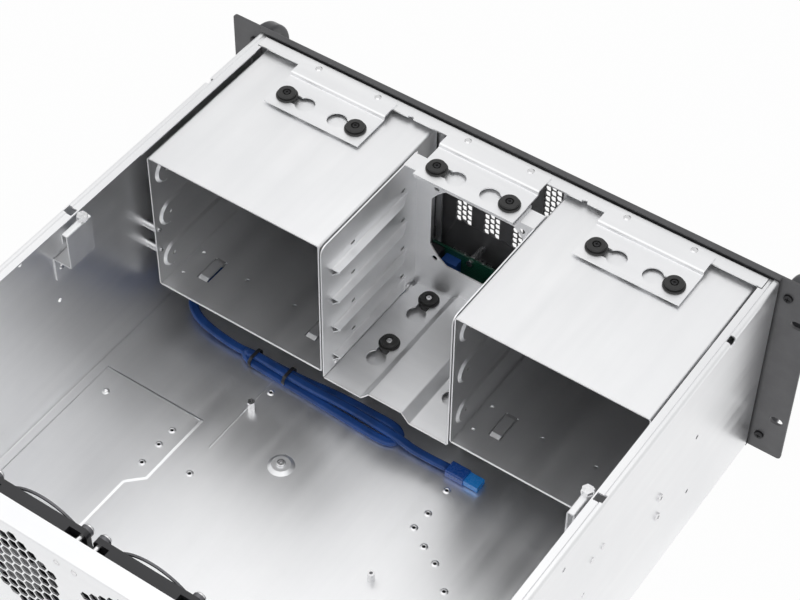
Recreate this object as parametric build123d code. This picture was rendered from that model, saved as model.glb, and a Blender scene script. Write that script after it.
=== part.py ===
from build123d import *
import math
import os

# Overall sizes of the case, in millimetres
RACK_W = 482.6          # over the rack ears
EAR_W = 26.3            # how far each ear stands out of the tub's side
BODY_W = RACK_W - 2 * EAR_W
PANEL_H = 177.0         # height of the front panel, four rack units
PANEL_OVER = 2.2        # how far the panel stands above the tub's walls
BODY_H = PANEL_H - PANEL_OVER
DEPTH = 445.3           # front panel's face to the rear face
HANDLE_REACH = 34.0     # how far the handles stand out of the front panel
SHEET = 1.2             # chassis sheet
CAGE_SHEET = 1.0        # cage sheet
BEND = 1.2              # inside radius of a fold
SEAT = 0.02             # clearance of a piece that sits in its hole

# Places along Y, measured back from the front panel's face
FACE = -(DEPTH + HANDLE_REACH) / 2 + HANDLE_REACH
REAR = FACE + DEPTH
PANEL_T = 2.2           # front panel's thickness
LIP_D = 4.7             # depth of the panel's top lip
FRAME_Y = FACE + 5.6    # front face of the steel front frame
FRAME_FLANGE = 10.4     # depth of the frame's top flange
TUB_Y = FACE + 4.9      # front end of the tub

# Tub
FLANGE_W = 10.0         # width of the wall's top flange
RIDGE_W = 4.0           # its raised outer band
STEP = 1.0              # how far the lid's seat lies below that band
WALL_CORNER = 2.6       # outside radius at the top of a wall
FLOOR_CORNER = 2.2      # outside radius along the floor
NOTCH_Y = (FACE + 67.4, FACE + 224.0)
NOTCH_L = 6.6
HOLE_R = 1.75

# Rack ears
EAR_SLOT_IN = 8.75      # middle of a slot from the ear's edge
EAR_SLOT_X = RACK_W - 2 * EAR_SLOT_IN
EAR_SLOT_Z = 101.6
EAR_SLOT_R = 3.4
EAR_SLOT_L = 10.0
EAR_CORNER = 3.0
HANDLE_W = 11.5         # handle's width along X
HANDLE_T = 8.0          # its thickness
HANDLE_END = 12.0       # from the handle's ends to the panel's edges
HANDLE_TOP = PANEL_H - HANDLE_END
HANDLE_BEND = 22.0
HANDLE_IN = 1.6         # from the tub's side to the handle's near edge
HANDLE_SCREW_R = 2.0

# Drive cages
CAGE_IN = 54.9          # cage's inner side face, from the middle of the case
CAGE_SIDE = 11.9        # from the cage to the outside of the tub
CAGE_W = BODY_W / 2 - CAGE_SIDE - CAGE_IN
CAGE_Y = FACE + 25.9
CAGE_D = 125.0
CAGE_Z = 39.2           # underside
CAGE_UNDER = 4.9        # from the cage's top to the top of the tub's walls
CAGE_TOP = BODY_H - CAGE_UNDER
CAGE_H = CAGE_TOP - CAGE_Z
CAGE_FLANGE = 14.0      # bottom flange under the cage's floor
BAYS = 3
EMBOSS_H = 21.0
EMBOSS_DEPTH = 1.0
EMBOSS_PITCH = (CAGE_H - 1.1) / BAYS
EMBOSS_Z = EMBOSS_PITCH / 2 - 0.7  # middle of the lowest one above the cage's underside
EMBOSS_FRONT = 14.0
EMBOSS_REAR = 6.8
TAB_L = 23.3            # lanced tabs in the cage's floor
TAB_W = 8.0
TAB_X = 49.6            # middle of a tab from the cage's middle
TAB_RISE = 1.0
SLIT = 1.2
DIMPLE_X = 21.7
CAGE_HOLE_IN = 8.3      # outer holes of the floor from the cage's side

# Middle cage
MID_X = 52.9            # inner face of a side wall
MID_TOP = CAGE_TOP - 2.1
MID_CORNER = 12.0
MID_Z = 34.5            # top of the low part of its base
MID_RISE = 7.8          # how far the middle of the base is raised
MID_FLAT = 14.4         # half width of the raised part
MID_SLOPE = 6.6         # width of the slope beside it
MID_Y = FACE + 35.3     # front face of the fan plate
RIB_Z = 10.3            # lowest rib above the base
RIBS = 4
RIB_PITCH = (MID_TOP - MID_Z - 11.3) / RIBS
RIB_W = 5.6
RIB_DEPTH = 2.1
RIB_Y = (FACE + 48.8, FACE + 135.8)
MID_FLANGE = 8.5
FAN_OVER = 3.7          # fan opening above the middle of its plate
FAN_Z = (MID_Z + CAGE_TOP) / 2 + FAN_OVER
FAN_HOLES = 71.5
FAN_HOLE_R = 2.2
FAN_OPEN_R = 46.2
FAN_OPEN_W = 80.0
FAN_OPEN_H = 77.0
SHELF_D = 23.0

# Brackets, grommets and fasteners
BRACKET_W = 82.0
BRACKET_Y = (FACE + 10.5, FACE + 27.5, FACE + 59.6)
GROMMET_Y = FACE + 46.5
GROMMET_X = 29.9        # grommet from the bracket's middle
KEYHOLE_X = 14.0
KEYHOLE_R = 7.4
KEYHOLE_SLOT_R = 4.6
GROMMET_R = 7.7
GROMMET_H = 3.4
RECESS_R = 4.6
RECESS_D = 1.2
SCREW_R = 1.5
SCREW_HEAD_R = 3.0
SCREW_HEAD_H = 1.7
RIVET_R = 1.6
RIVET_HEAD_R = 2.7
RIVET_HEAD_H = 0.8
BRACKET_RIVET_X = 26.0
BRACKET_RIVET_Y = FACE + 13.2
BASE_GROMMET_X = 33.0
BASE_GROMMET_Y = (FACE + 46.6, FACE + 97.7)
BASE_KEYHOLE_DY = 16.6
FOOT_Y = (FACE + 37.5, FACE + 121.0)
FOOT_X = 45.0
FOOT_FLANGE = 10.0
SIDE_SCREW_Y = FACE + 146.9
SIDE_SCREW_Z = (73.5, 94.2)
SPACER_R = 3.2

# Rear panel
REAR_FLANGE = 15.5
SLOTS = 7
SLOT_PITCH = 20.32
SLOT_SIDE = 18.28       # middle of the last slot from the tub's side
SLOT_X = SLOT_SIDE + (SLOTS - 1) * SLOT_PITCH - BODY_W / 2
IO_FROM_SLOT = 13.8
IO_X0 = SLOT_X + IO_FROM_SLOT
IO_W = 158.75
IO_Z0 = 7.5
IO_H = 44.45
SLOT_W = 13.4
SLOT_Z = (14.0, 104.0)
COVER_W = 18.4
COVER_T = 1.0
COVER_Z = (9.0, 117.0)
COVER_SCREW_Z = 111.0
REAR_FAN_X = (-17.0, 68.0)
REAR_FAN_DROP = 44.2    # fans' axes below the top of the walls
REAR_FAN_Z = BODY_H - REAR_FAN_DROP
FAN_SIZE = 80.0
FAN_T = 25.4
FAN_BORE_R = 37.8
FAN_CORNER = 4.0
HUB_R = 17.5
SHAFT_R = 1.5
BLADES = 7
GRILLE_R = 39.0
PSU_W = 86.0
PSU_H = 150.0
PSU_SIDE = 5.5
PSU_X = BODY_W / 2 - PSU_SIDE - PSU_W / 2
PSU_Z0 = 5.0
PSU_RIM = 3.0
PSU_HOLE_IN = 6.0
PSU_HOLES_W = PSU_W - 2 * PSU_HOLE_IN
PSU_SHORT = 24.0        # how much closer the holes of one side lie than those of the other
PSU_HOLES_L = (PSU_H - 2 * PSU_HOLE_IN - PSU_SHORT, PSU_H - 2 * PSU_HOLE_IN)
PSU_SKEW = 10.0         # how far the fourth hole is set in
PSU_TAB = 5.0
PSU_HOLE_R = 1.9

# Hexagonal vents
VENT_PITCH = 5.2
VENT_AF = 4.3
VENT_STRIP = 24.2       # from one strip of vents to the next
VENT_STRIPS = 4
VENT_X0 = 33.6          # middle of the first strip
VENT_Z = (80.8, PANEL_H - 15.0)
REAR_VENT_PITCH = 8.4
REAR_VENT_AF = 7.2

# Front board and controls
BOARD_X = (-32.0, 48.0)
BOARD_Z = (30.0, 67.8)
BOARD_Y = FACE + 18.7
BOARD_T = 1.6
BUTTON_X = -18.0
BUTTON_Z = 50.0
BUTTON_R = 6.0
RESET_X = -2.0
RESET_R = 2.0
BUTTON_GAP = 0.3
BUTTON_PROUD = 1.2
BUTTON_TRAVEL = 1.5
USB_X = (14.0, 34.0)
USB_Z = 46.0
USB_W = 13.6
USB_H = 6.2
LIGHT_X = (-20.0, -8.0)
LIGHT_Z = 62.0
LIGHT_R = 1.5
HEADER_X = (37.5, 47.5)
HEADER_Z = (58.6, 66.4)

# Floor
STANDOFF_X = (95.3, -62.2)
STANDOFF_Y = (FACE + 183.2, FACE + 255.6)
STANDOFF_AF = 5.0
STANDOFF_H = 8.4
BOSS_X = 46.6
BOSS_Y = FACE + 212.4
BOSS_R = 10.0
BOSS_H = 2.0
PAD_X = (118.5, BODY_W / 2 - 10.0)
PAD_Y = (FACE + 213.5, FACE + 276.0, REAR - 15.3)
PAD_STEP = 11.5
PAD_H = 0.8

# Hold-down bar's brackets
BAR_Y = (FACE + 217.5, FACE + 242.3)
BAR_TOP = BODY_H - 3.8
BAR_W = 5.6
BAR_SIDE = 15.0         # from the tub's side to the middle of the upright strip
BAR_X = BODY_W / 2 - BAR_SIDE
BAR_LIP = 8.0
BAR_SHELF = BAR_TOP - 31.0
BAR_FOOT = BAR_SHELF - 22.0
HEX_AF = 7.0
BAR_BOLT_R = 1.25

# Front lead
LEAD_D = 7.0
LEAD_REST = SHEET + LEAD_D / 2 + 0.1
LEAD_GAP = 0.3          # from the end of a lead to the plug or hank it meets
HANK_X = (-6.0, 126.0)
HANK_W = 21.0
HANK_T = 9.0
HANK_Y = FACE + 146.0
TIE_X = (89.0, 120.0)
TIE_W = 2.6
TIE_T = 1.2
PLUG_X = -54.0
PLUG_L = 27.0
PLUG_W = 11.4
PLUG_T = 7.2
BOARD_PLUG_X = (22.5, 35.5)
BOARD_PLUG_Z = (49.8, 62.0)
BOARD_PLUG_T = 8.0


def block(x0, x1, y0, y1, z0, z1):
    """A box between two corners."""
    size = (abs(x1 - x0), abs(y1 - y0), abs(z1 - z0))
    return Pos((x0 + x1) / 2, (y0 + y1) / 2, (z0 + z1) / 2) * Box(*size)


def rod_z(x, y, radius, z0, z1):
    return Pos(x, y, (z0 + z1) / 2) * Cylinder(radius, abs(z1 - z0))


def rod_y(x, z, radius, y0, y1):
    return Pos(x, (y0 + y1) / 2, z) * Rot(90, 0, 0) * Cylinder(radius, abs(y1 - y0))


def rod_x(y, z, radius, x0, x1):
    return Pos((x0 + x1) / 2, y, z) * Rot(0, 90, 0) * Cylinder(radius, abs(x1 - x0))


def along_y(face, y0, y1):
    """Extrudes a face drawn in X and Z from y0 to y1."""
    return extrude(Plane(origin=(0, y1, 0), x_dir=(1, 0, 0), z_dir=(0, -1, 0)) * face, amount=y1 - y0)


def along_x(face, x0, x1):
    """Extrudes a face drawn in Y and Z from x0 to x1."""
    return extrude(Plane(origin=(x0, 0, 0), x_dir=(0, 1, 0), z_dir=(1, 0, 0)) * face, amount=x1 - x0)


def folded(points, radii, thickness, side=Side.LEFT):
    """The section of a folded sheet: the given line, and its other face a thickness aside."""
    sign = 1 if side == Side.LEFT else -1
    ways = []
    for (x0, y0), (x1, y1) in zip(points, points[1:]):
        length = math.hypot(x1 - x0, y1 - y0)
        ways.append(((x1 - x0) / length, (y1 - y0) / length))
    other = []
    other_radii = []
    for i, (x, y) in enumerate(points):
        before = ways[max(i - 1, 0)]
        after = ways[min(i, len(ways) - 1)]
        scale = sign * thickness / (1 + before[0] * after[0] + before[1] * after[1])
        other.append((x - scale * (before[1] + after[1]), y + scale * (before[0] + after[0])))
        if 0 < i < len(points) - 1:
            turn = before[0] * after[1] - before[1] * after[0]
            inside = turn * sign > 0
            other_radii.append(max(radii[i - 1] + (-thickness if inside else thickness), 0.15))
    one = FilletPolyline(*points, radius=radii)
    two = FilletPolyline(*other, radius=other_radii)
    ends = [Line(points[0], other[0]), Line(points[-1], other[-1])]
    return make_face(one.edges() + two.edges() + ends)


def ring(points):
    return Wire.make_polygon([(x, y, 0) for x, y in points], close=True)


def rectangle(x0, x1, z0, z1):
    return ring([(x0, z0), (x1, z0), (x1, z1), (x0, z1)])


def circle(x, z, radius):
    return Wire.make_circle(radius, Plane(origin=(x, z, 0)))


def hexagon(x, z, across, turn=0.0):
    """A hexagon with two sides upright at a turn of 0."""
    reach = across / math.sqrt(3)
    angles = [math.radians(30 + turn + 60 * i) for i in range(6)]
    return ring([(x + reach * math.cos(a), z + reach * math.sin(a)) for a in angles])


def stadium(x, z, length, radius):
    """A slot that runs along the first axis."""
    half = length / 2 - radius
    outline = SlotCenterToCenter(2 * half, 2 * radius)
    return (Pos(x, z) * outline).face().outer_wire()


def plate(outline, holes, y0, y1):
    """A flat sheet across the case, with its holes."""
    return along_y(Face(outline, holes), y0, y1)


def mirrored(solid):
    return mirror(solid, about=Plane.YZ)


def vent_cells(x, z0, z1):
    """One strip of hexagonal holes, three columns wide."""
    cells = []
    column = VENT_PITCH * math.sqrt(3) / 2
    for i in (-1, 0, 1):
        start = z0 + (VENT_PITCH / 2 if i == 0 else 0)
        for j in range(int((z1 - start) / VENT_PITCH) + 1):
            cells.append(hexagon(x + i * column, start + j * VENT_PITCH, VENT_AF, turn=30))
    return cells


def grille_cells(x, z):
    """Hexagonal holes that fill the circle in front of a fan."""
    cells = []
    column = REAR_VENT_PITCH * math.sqrt(3) / 2
    reach = GRILLE_R - REAR_VENT_AF / 2
    count = int(GRILLE_R / column) + 1
    for i in range(-count, count + 1):
        for j in range(-count, count + 1):
            dx = i * column
            dz = (j + (i % 2) / 2) * REAR_VENT_PITCH
            if math.hypot(dx, dz) <= reach:
                cells.append(hexagon(x + dx, z + dz, REAR_VENT_AF, turn=30))
    return cells


def fan_holes(x, z, spacing):
    half = spacing / 2
    return [(x + i * half, z + j * half) for i in (-1, 1) for j in (-1, 1)]


def keyhole(x, y, toward_x, toward_y, z0, z1):
    """A round hole and the slot that leads from it to a grommet."""
    slot = rod_z(toward_x, toward_y, KEYHOLE_SLOT_R, z0, z1)
    reach_x = abs(toward_x - x) + 2 * KEYHOLE_SLOT_R * (abs(toward_x - x) < 1e-6)
    reach_y = abs(toward_y - y) + 2 * KEYHOLE_SLOT_R * (abs(toward_y - y) < 1e-6)
    mid_x = (x + toward_x) / 2
    mid_y = (y + toward_y) / 2
    neck = block(mid_x - reach_x / 2, mid_x + reach_x / 2, mid_y - reach_y / 2, mid_y + reach_y / 2, z0, z1)
    return [rod_z(x, y, KEYHOLE_R, z0, z1), slot, neck]


def chassis_tub():
    """Floor, side walls and stepped top flanges, folded from one sheet."""
    half = BODY_W / 2
    seat = BODY_H - STEP
    ridge = half - RIDGE_W
    side = [(half, 0), (half, BODY_H), (ridge, BODY_H), (ridge - STEP, seat), (half - FLANGE_W, seat)]
    points = [(-x, z) for x, z in reversed(side)] + side
    small = 0.35
    radii = [small, small, WALL_CORNER, FLOOR_CORNER, FLOOR_CORNER, WALL_CORNER, small, small]
    section = folded(points, radii, SHEET, Side.LEFT)
    tub = along_y(section, TUB_Y, REAR - SHEET)
    pad = Polyline((PAD_X[1], PAD_Y[0]), (PAD_X[0], PAD_Y[0]), (PAD_X[0], PAD_Y[1]),
                   (PAD_X[0] + PAD_STEP, PAD_Y[1] + PAD_STEP), (PAD_X[0] + PAD_STEP, PAD_Y[2]),
                   (PAD_X[1], PAD_Y[2]), close=True)
    pad_face = make_face(pad)
    pad_face = fillet(pad_face.vertices(), 7)
    tub += extrude(Pos(0, 0, SHEET) * pad_face, PAD_H)
    tub -= extrude(offset(pad_face, -SHEET / 2), PAD_H)
    boss = Pos(BOSS_X, BOSS_Y, SHEET + BOSS_H / 2) * Cone(BOSS_R, BOSS_R - 3, BOSS_H)
    dish = Pos(BOSS_X, BOSS_Y, BOSS_H / 2) * Cone(BOSS_R - 1.2, BOSS_R - 4.2, BOSS_H)
    tub += boss
    cuts = [dish, rod_z(BOSS_X, BOSS_Y, SCREW_R + SEAT, -1, SHEET + BOSS_H + 1)]
    for x, y in zip(STANDOFF_X, STANDOFF_Y):
        cuts.append(rod_z(x, y, SCREW_R + SEAT, -1, SHEET + 1))
    for x, y in floor_holes():
        cuts.append(rod_z(x, y, HOLE_R, -1, SHEET + PAD_H + 1))
    for y, z in wall_holes():
        cuts.append(rod_x(y, z, HOLE_R, half - 2 * SHEET, half + 1))
        cuts.append(rod_x(y, z, HOLE_R, -half - 1, -half + 2 * SHEET))
    for z in SIDE_SCREW_Z:
        cuts.append(rod_x(SIDE_SCREW_Y, z, SCREW_R + SEAT, half - 2 * SHEET, half + 1))
        cuts.append(rod_x(SIDE_SCREW_Y, z, SCREW_R + SEAT, -half - 1, -half + 2 * SHEET))
    for y in bar_screw_ys():
        cuts.append(rod_x(y, bar_screw_z(), RIVET_R + SEAT, half - 2 * SHEET, half + 1))
        cuts.append(rod_x(y, bar_screw_z(), RIVET_R + SEAT, -half - 1, -half + 2 * SHEET))
    for x in (-1, 1):
        frame_end = FRAME_Y + FRAME_FLANGE + 0.4
        inner = x * (half - FLANGE_W - 1)
        cuts.append(block(inner, x * (half - 7), TUB_Y - 1, frame_end, BODY_H - 4, BODY_H))
        y0 = NOTCH_Y[0] - NOTCH_L / 2
        outer = x * (half + 1)
        cuts.append(block(x * (half - RIDGE_W), outer, y0, y0 + NOTCH_L, BODY_H - 5, BODY_H + 1))
        y1 = NOTCH_Y[1] - NOTCH_L / 2
        lip = x * (half - FLANGE_W + 1)
        cuts.append(block(lip, x * (half - 2.2), y1, y1 + NOTCH_L, BODY_H - 4, BODY_H + 1))
    return tub - cuts


def floor_holes():
    """Small holes in the floor, from the middle of the case and from the front face."""
    spots = [(-62.2, 163), (-62.6, 187.2), (-61.4, 202.8), (-76.2, 212.1), (-90.4, 219.5), (-108.3, 235),
             (92.8, 163.1), (95.3, 255.6), (129.4, 232.6), (129.2, 248.1), (128.8, 267.6), (191.8, 232.1)]
    return [(x, FACE + d) for x, d in spots]


def wall_holes():
    """Holes for the rack slides, along both walls."""
    spots = [(101.3, 51), (100.4, 109.2), (242.2, 97), (272.8, 160.3), (386, 51), (386, 109.2)]
    return [(FACE + d, z) for d, z in spots]


def bar_screw_ys():
    return [BAR_Y[0] + 6, BAR_Y[1] - 6]


def bar_screw_z():
    return (BAR_FOOT + BAR_SHELF) / 2 - 1


def slot_xs():
    return [SLOT_X - i * SLOT_PITCH for i in range(SLOTS)]


def psu_spot(along, across):
    """A point of the power supply's face, which stands on its narrow side."""
    return (PSU_X - PSU_W / 2 + across, PSU_Z0 + along)


def psu_holes():
    """The four screw holes of a standard power supply."""
    near = PSU_HOLE_IN
    far = near + PSU_HOLES_W
    return [psu_spot(near, near), psu_spot(near + PSU_HOLES_L[0], near), psu_spot(near, far),
            psu_spot(near + PSU_HOLES_L[1], far - PSU_SKEW)]


def psu_opening():
    """The power supply's opening, cut back round its screws."""
    low = PSU_RIM
    high = PSU_H - PSU_RIM
    near = PSU_HOLE_IN + PSU_TAB
    far = PSU_W - PSU_RIM
    small = 2 * PSU_HOLE_IN
    big = small + PSU_SKEW
    corners = [(low, near), (high, near), (high, far - big), (high - big, far), (low + small, far),
               (low, far - small)]
    return ring([psu_spot(u, v) for u, v in corners])


def rear_panel():
    """Rear wall with its flanges, openings and fan grilles."""
    half = BODY_W / 2
    inner = half - SHEET
    front = REAR - SHEET
    outline = rectangle(-half, half, 0, BODY_H)
    holes = [psu_opening(), rectangle(IO_X0, IO_X0 + IO_W, IO_Z0, IO_Z0 + IO_H)]
    for x, z in psu_holes():
        holes.append(circle(x, z, PSU_HOLE_R))
    for x in slot_xs():
        holes.append(rectangle(x - SLOT_W / 2, x + SLOT_W / 2, *SLOT_Z))
        holes.append(circle(x, COVER_SCREW_Z, SCREW_R + SEAT))
    for fan_x in REAR_FAN_X:
        holes += grille_cells(fan_x, REAR_FAN_Z)
        for x, z in fan_holes(fan_x, REAR_FAN_Z, FAN_HOLES):
            holes.append(circle(x, z, FAN_HOLE_R))
    panel = plate(outline, holes, front, REAR)
    top_reach = half - FLANGE_W - 0.6
    panel += block(-top_reach, top_reach, REAR - REAR_FLANGE, front, BODY_H - SHEET, BODY_H)
    for x in (-1, 1):
        panel += block(x * (inner - SHEET), x * inner, front - 9, front, 6, BODY_H - 4)
    panel += block(-inner + 3, inner - 3, front - 9, front, SHEET, 2 * SHEET)
    outer_edge = panel.edges().filter_by(Axis.X).filter_by_position(Axis.Z, BODY_H - 0.01, BODY_H + 0.01)
    return fillet(outer_edge.sort_by(Axis.Y)[-1:], SHEET)


def bay_hole():
    """One opening for three drives, in X and Z."""
    return (CAGE_IN + 0.4, CAGE_IN + CAGE_W - 0.4, CAGE_Z + 1.4, CAGE_TOP - 1.4)


def front_frame():
    """Steel sheet behind the front panel, with its flanges."""
    reach = BODY_W / 2 - SHEET
    x0, x1, z0, z1 = bay_hole()
    outline = rectangle(-reach + 2, reach - 2, SHEET, BODY_H)
    holes = [rectangle(x0, x1, z0, z1), rectangle(-x1, -x0, z0, z1), rectangle(-50, 50, 22, 165)]
    frame = plate(outline, holes, FRAME_Y, FRAME_Y + SHEET)
    flange_x = BODY_W / 2 - FLANGE_W + 2.6
    back = FRAME_Y + FRAME_FLANGE
    top = block(-flange_x, flange_x, FRAME_Y + SHEET, back, BODY_H - SHEET, BODY_H)
    for x in (72.8, -71.0):
        top -= rod_z(x, back, 2.2, BODY_H - 5, BODY_H + 5)
    for side in (-1, 0, 1):
        for x in bracket_rivet_xs(side):
            top -= rod_z(x, BRACKET_RIVET_Y, RIVET_R + SEAT, BODY_H - 5, BODY_H + 5)
    frame += top
    frame -= block(flange_x, BODY_W, FACE, back + 1, BODY_H - 4, BODY_H + 1)
    frame -= block(-BODY_W, -flange_x, FACE, back + 1, BODY_H - 4, BODY_H + 1)
    frame += block(-reach + 4, reach - 4, FRAME_Y + SHEET, FRAME_Y + 12, SHEET, 2 * SHEET)
    for x in (-1, 1):
        frame += block(x * (reach - SHEET), x * reach, FRAME_Y + SHEET, FRAME_Y + 12, 8, BODY_H - 8)
        frame += block(x * (reach - 3), x * reach, FRAME_Y, FRAME_Y + SHEET, 8, BODY_H - 8)
    edge = frame.edges().filter_by(Axis.X).filter_by_position(Axis.Z, BODY_H - 0.01, BODY_H + 0.01)
    edge = edge.filter_by_position(Axis.Y, FRAME_Y - 0.01, FRAME_Y + 0.01)
    return fillet(edge, SHEET)


def front_panel():
    """Dark front panel with its rack ears, lip, bay openings and vents."""
    half = RACK_W / 2
    x0, x1, z0, z1 = bay_hole()
    outline = (Pos(0, PANEL_H / 2) * RectangleRounded(RACK_W, PANEL_H, EAR_CORNER)).face().outer_wire()
    holes = [rectangle(x0 - 0.4, x1 + 0.4, z0 - 0.4, z1 + 0.4),
             rectangle(-x1 - 0.4, -x0 + 0.4, z0 - 0.4, z1 + 0.4)]
    for x in (-EAR_SLOT_X / 2, EAR_SLOT_X / 2):
        for z in ((PANEL_H - EAR_SLOT_Z) / 2, (PANEL_H + EAR_SLOT_Z) / 2):
            holes.append(stadium(x, z, EAR_SLOT_L, EAR_SLOT_R))
    for i in range(VENT_STRIPS):
        holes += vent_cells(VENT_X0 - i * VENT_STRIP, *VENT_Z)
    holes.append(circle(BUTTON_X, BUTTON_Z, BUTTON_R + BUTTON_GAP))
    holes.append(circle(RESET_X, BUTTON_Z, RESET_R + BUTTON_GAP))
    for x in USB_X:
        holes.append(rectangle(x - USB_W / 2 - 0.3, x + USB_W / 2 + 0.3, USB_Z - USB_H / 2 - 0.3,
                               USB_Z + USB_H / 2 + 0.3))
    for x in LIGHT_X:
        holes.append(circle(x, LIGHT_Z, LIGHT_R + SEAT))
    for x, z in handle_screws():
        holes.append(circle(x, z, HANDLE_SCREW_R + SEAT))
        holes.append(circle(-x, z, HANDLE_SCREW_R + SEAT))
    panel = plate(outline, holes, FACE, FACE + PANEL_T)
    panel += block(-BODY_W / 2, BODY_W / 2, FACE + PANEL_T, FACE + LIP_D, PANEL_H - 1.4, PANEL_H)
    panel += block(-BODY_W / 2, BODY_W / 2, FACE + PANEL_T, FACE + LIP_D, 0, 1.0)
    edges = panel.edges().filter_by(Axis.X).filter_by_position(Axis.Z, PANEL_H - 0.01, PANEL_H + 0.01)
    return fillet(edges.sort_by(Axis.Y)[:1], 0.8)


def handle_mid_x():
    return BODY_W / 2 + HANDLE_IN + HANDLE_W / 2


def handle_bottom():
    return PANEL_H - HANDLE_TOP


def handle_screws():
    inset = HANDLE_T / 2
    return [(handle_mid_x(), HANDLE_TOP - inset), (handle_mid_x(), handle_bottom() + inset)]


def handle():
    """U-shaped front handle with rounded edges."""
    inset = HANDLE_T / 2
    top = HANDLE_TOP - inset
    bottom = handle_bottom() + inset
    out = FACE - HANDLE_REACH + inset
    path = FilletPolyline((handle_mid_x(), FACE, bottom), (handle_mid_x(), out, bottom),
                          (handle_mid_x(), out, top), (handle_mid_x(), FACE, top), radius=HANDLE_BEND)
    section = Plane(origin=(handle_mid_x(), FACE, bottom), x_dir=(1, 0, 0), z_dir=(0, -1, 0))
    profile = section * RectangleRounded(HANDLE_W, HANDLE_T, 2.6)
    body = sweep(profile, path=path)
    for x, z in handle_screws():
        body -= rod_y(x, z, HANDLE_SCREW_R + SEAT, FACE - 12, FACE + 1)
    return body


def drive_cage():
    """Top and sides of the left drive cage, with its bottom flanges."""
    x0 = CAGE_IN
    x1 = CAGE_IN + CAGE_W
    z1 = CAGE_TOP
    outer = BEND + CAGE_SHEET
    points = [(x0 + CAGE_FLANGE, CAGE_Z), (x0, CAGE_Z), (x0, z1), (x1, z1), (x1, CAGE_Z),
              (x1 - CAGE_FLANGE, CAGE_Z)]
    section = folded(points, [outer] * 4, CAGE_SHEET, Side.RIGHT)
    cage = along_y(section, CAGE_Y, CAGE_Y + CAGE_D)
    length = CAGE_D - EMBOSS_FRONT - EMBOSS_REAR
    mid_y = CAGE_Y + EMBOSS_FRONT + length / 2
    bosses = []
    cuts = []
    for i in range(BAYS):
        z = CAGE_Z + EMBOSS_Z + i * EMBOSS_PITCH
        big = Face(stadium(mid_y, z, length, EMBOSS_H / 2))
        small = Face(stadium(mid_y, z, length - 1.2, EMBOSS_H / 2 - 0.6))
        bosses.append(along_x(big, x0 - EMBOSS_DEPTH, x0))
        bosses.append(along_x(big, x1, x1 + EMBOSS_DEPTH))
        cuts.append(along_x(small, x0 + 0.1, x0 + CAGE_SHEET + 1))
        cuts.append(along_x(small, x1 - CAGE_SHEET - 1, x1 - 0.1))
        for z_hole in (z - 10.4 + EMBOSS_H / 2, z - 2.5 - EMBOSS_H / 2 + 0.3):
            cuts.append(rod_x(CAGE_Y + CAGE_D - 16, z_hole + 1.2, 1.6, x0 - 2, x1 + 2))
    for x in (-1, 1):
        screw_x = CAGE_IN + CAGE_W / 2 + x * GROMMET_X
        cuts.append(rod_z(screw_x, GROMMET_Y, SCREW_R + SEAT, z1 - 3, z1 + 1))
    for z in SIDE_SCREW_Z:
        cuts.append(rod_x(SIDE_SCREW_Y, z, SCREW_R + SEAT, x1 - 3, x1 + 3))
    return (cage + bosses) - cuts


def cage_floor():
    """Floor of the left drive cage: hemmed at the rear, with lanced tabs."""
    mid = CAGE_IN + CAGE_W / 2
    reach = CAGE_W / 2 - CAGE_SHEET - BEND
    z0 = CAGE_Z + CAGE_SHEET
    z1 = z0 + CAGE_SHEET
    y1 = CAGE_Y + CAGE_D
    floor = block(mid - reach, mid + reach, CAGE_Y, y1, z0, z1)
    hem = CAGE_W / 2 - CAGE_FLANGE - 0.4
    floor += block(mid - hem, mid + hem, y1 - CAGE_SHEET, y1, CAGE_Z, z0)
    floor += block(mid - hem, mid + hem, CAGE_Y, CAGE_Y + CAGE_SHEET, CAGE_Z, z0)
    cuts = []
    tabs = []
    tab_y = y1 - 43.2
    for x in (-1, 1):
        tab_x = mid + x * TAB_X
        width = TAB_W / 2
        cuts.append(block(tab_x - width - SLIT, tab_x + width + SLIT, tab_y, tab_y + TAB_L, z0 - 1, z1 + 1))
        slope = [(tab_y - 0.5, z0), (tab_y + 3, z0 + TAB_RISE), (tab_y + TAB_L - 3, z0 + TAB_RISE),
                 (tab_y + TAB_L + 0.5, z0)]
        roof = [(y, z + CAGE_SHEET) for y, z in reversed(slope)]
        tabs.append(along_x(Face(ring(slope + roof)), tab_x - width, tab_x + width))
        cuts.append(rod_z(mid + x * DIMPLE_X, y1 - 38.2, 1.5, z0 - 1, z1 + 1))
        for back in (17.1, 41.7):
            cuts.append(rod_z(mid + x * (CAGE_W / 2 - CAGE_HOLE_IN), y1 - back, 1.5, CAGE_Z - 1, z1 + 1))
    return (floor - cuts) + tabs


def base_section():
    """The middle base's section: low sides and a raised middle."""
    low = MID_Z
    high = MID_Z + MID_RISE
    flat = MID_FLAT
    slope = MID_FLAT + MID_SLOPE
    reach = MID_X
    points = [(-reach, low), (-slope, low), (-flat, high), (flat, high), (slope, low), (reach, low)]
    return folded(points, [2.0] * 4, CAGE_SHEET, Side.RIGHT)


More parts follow.
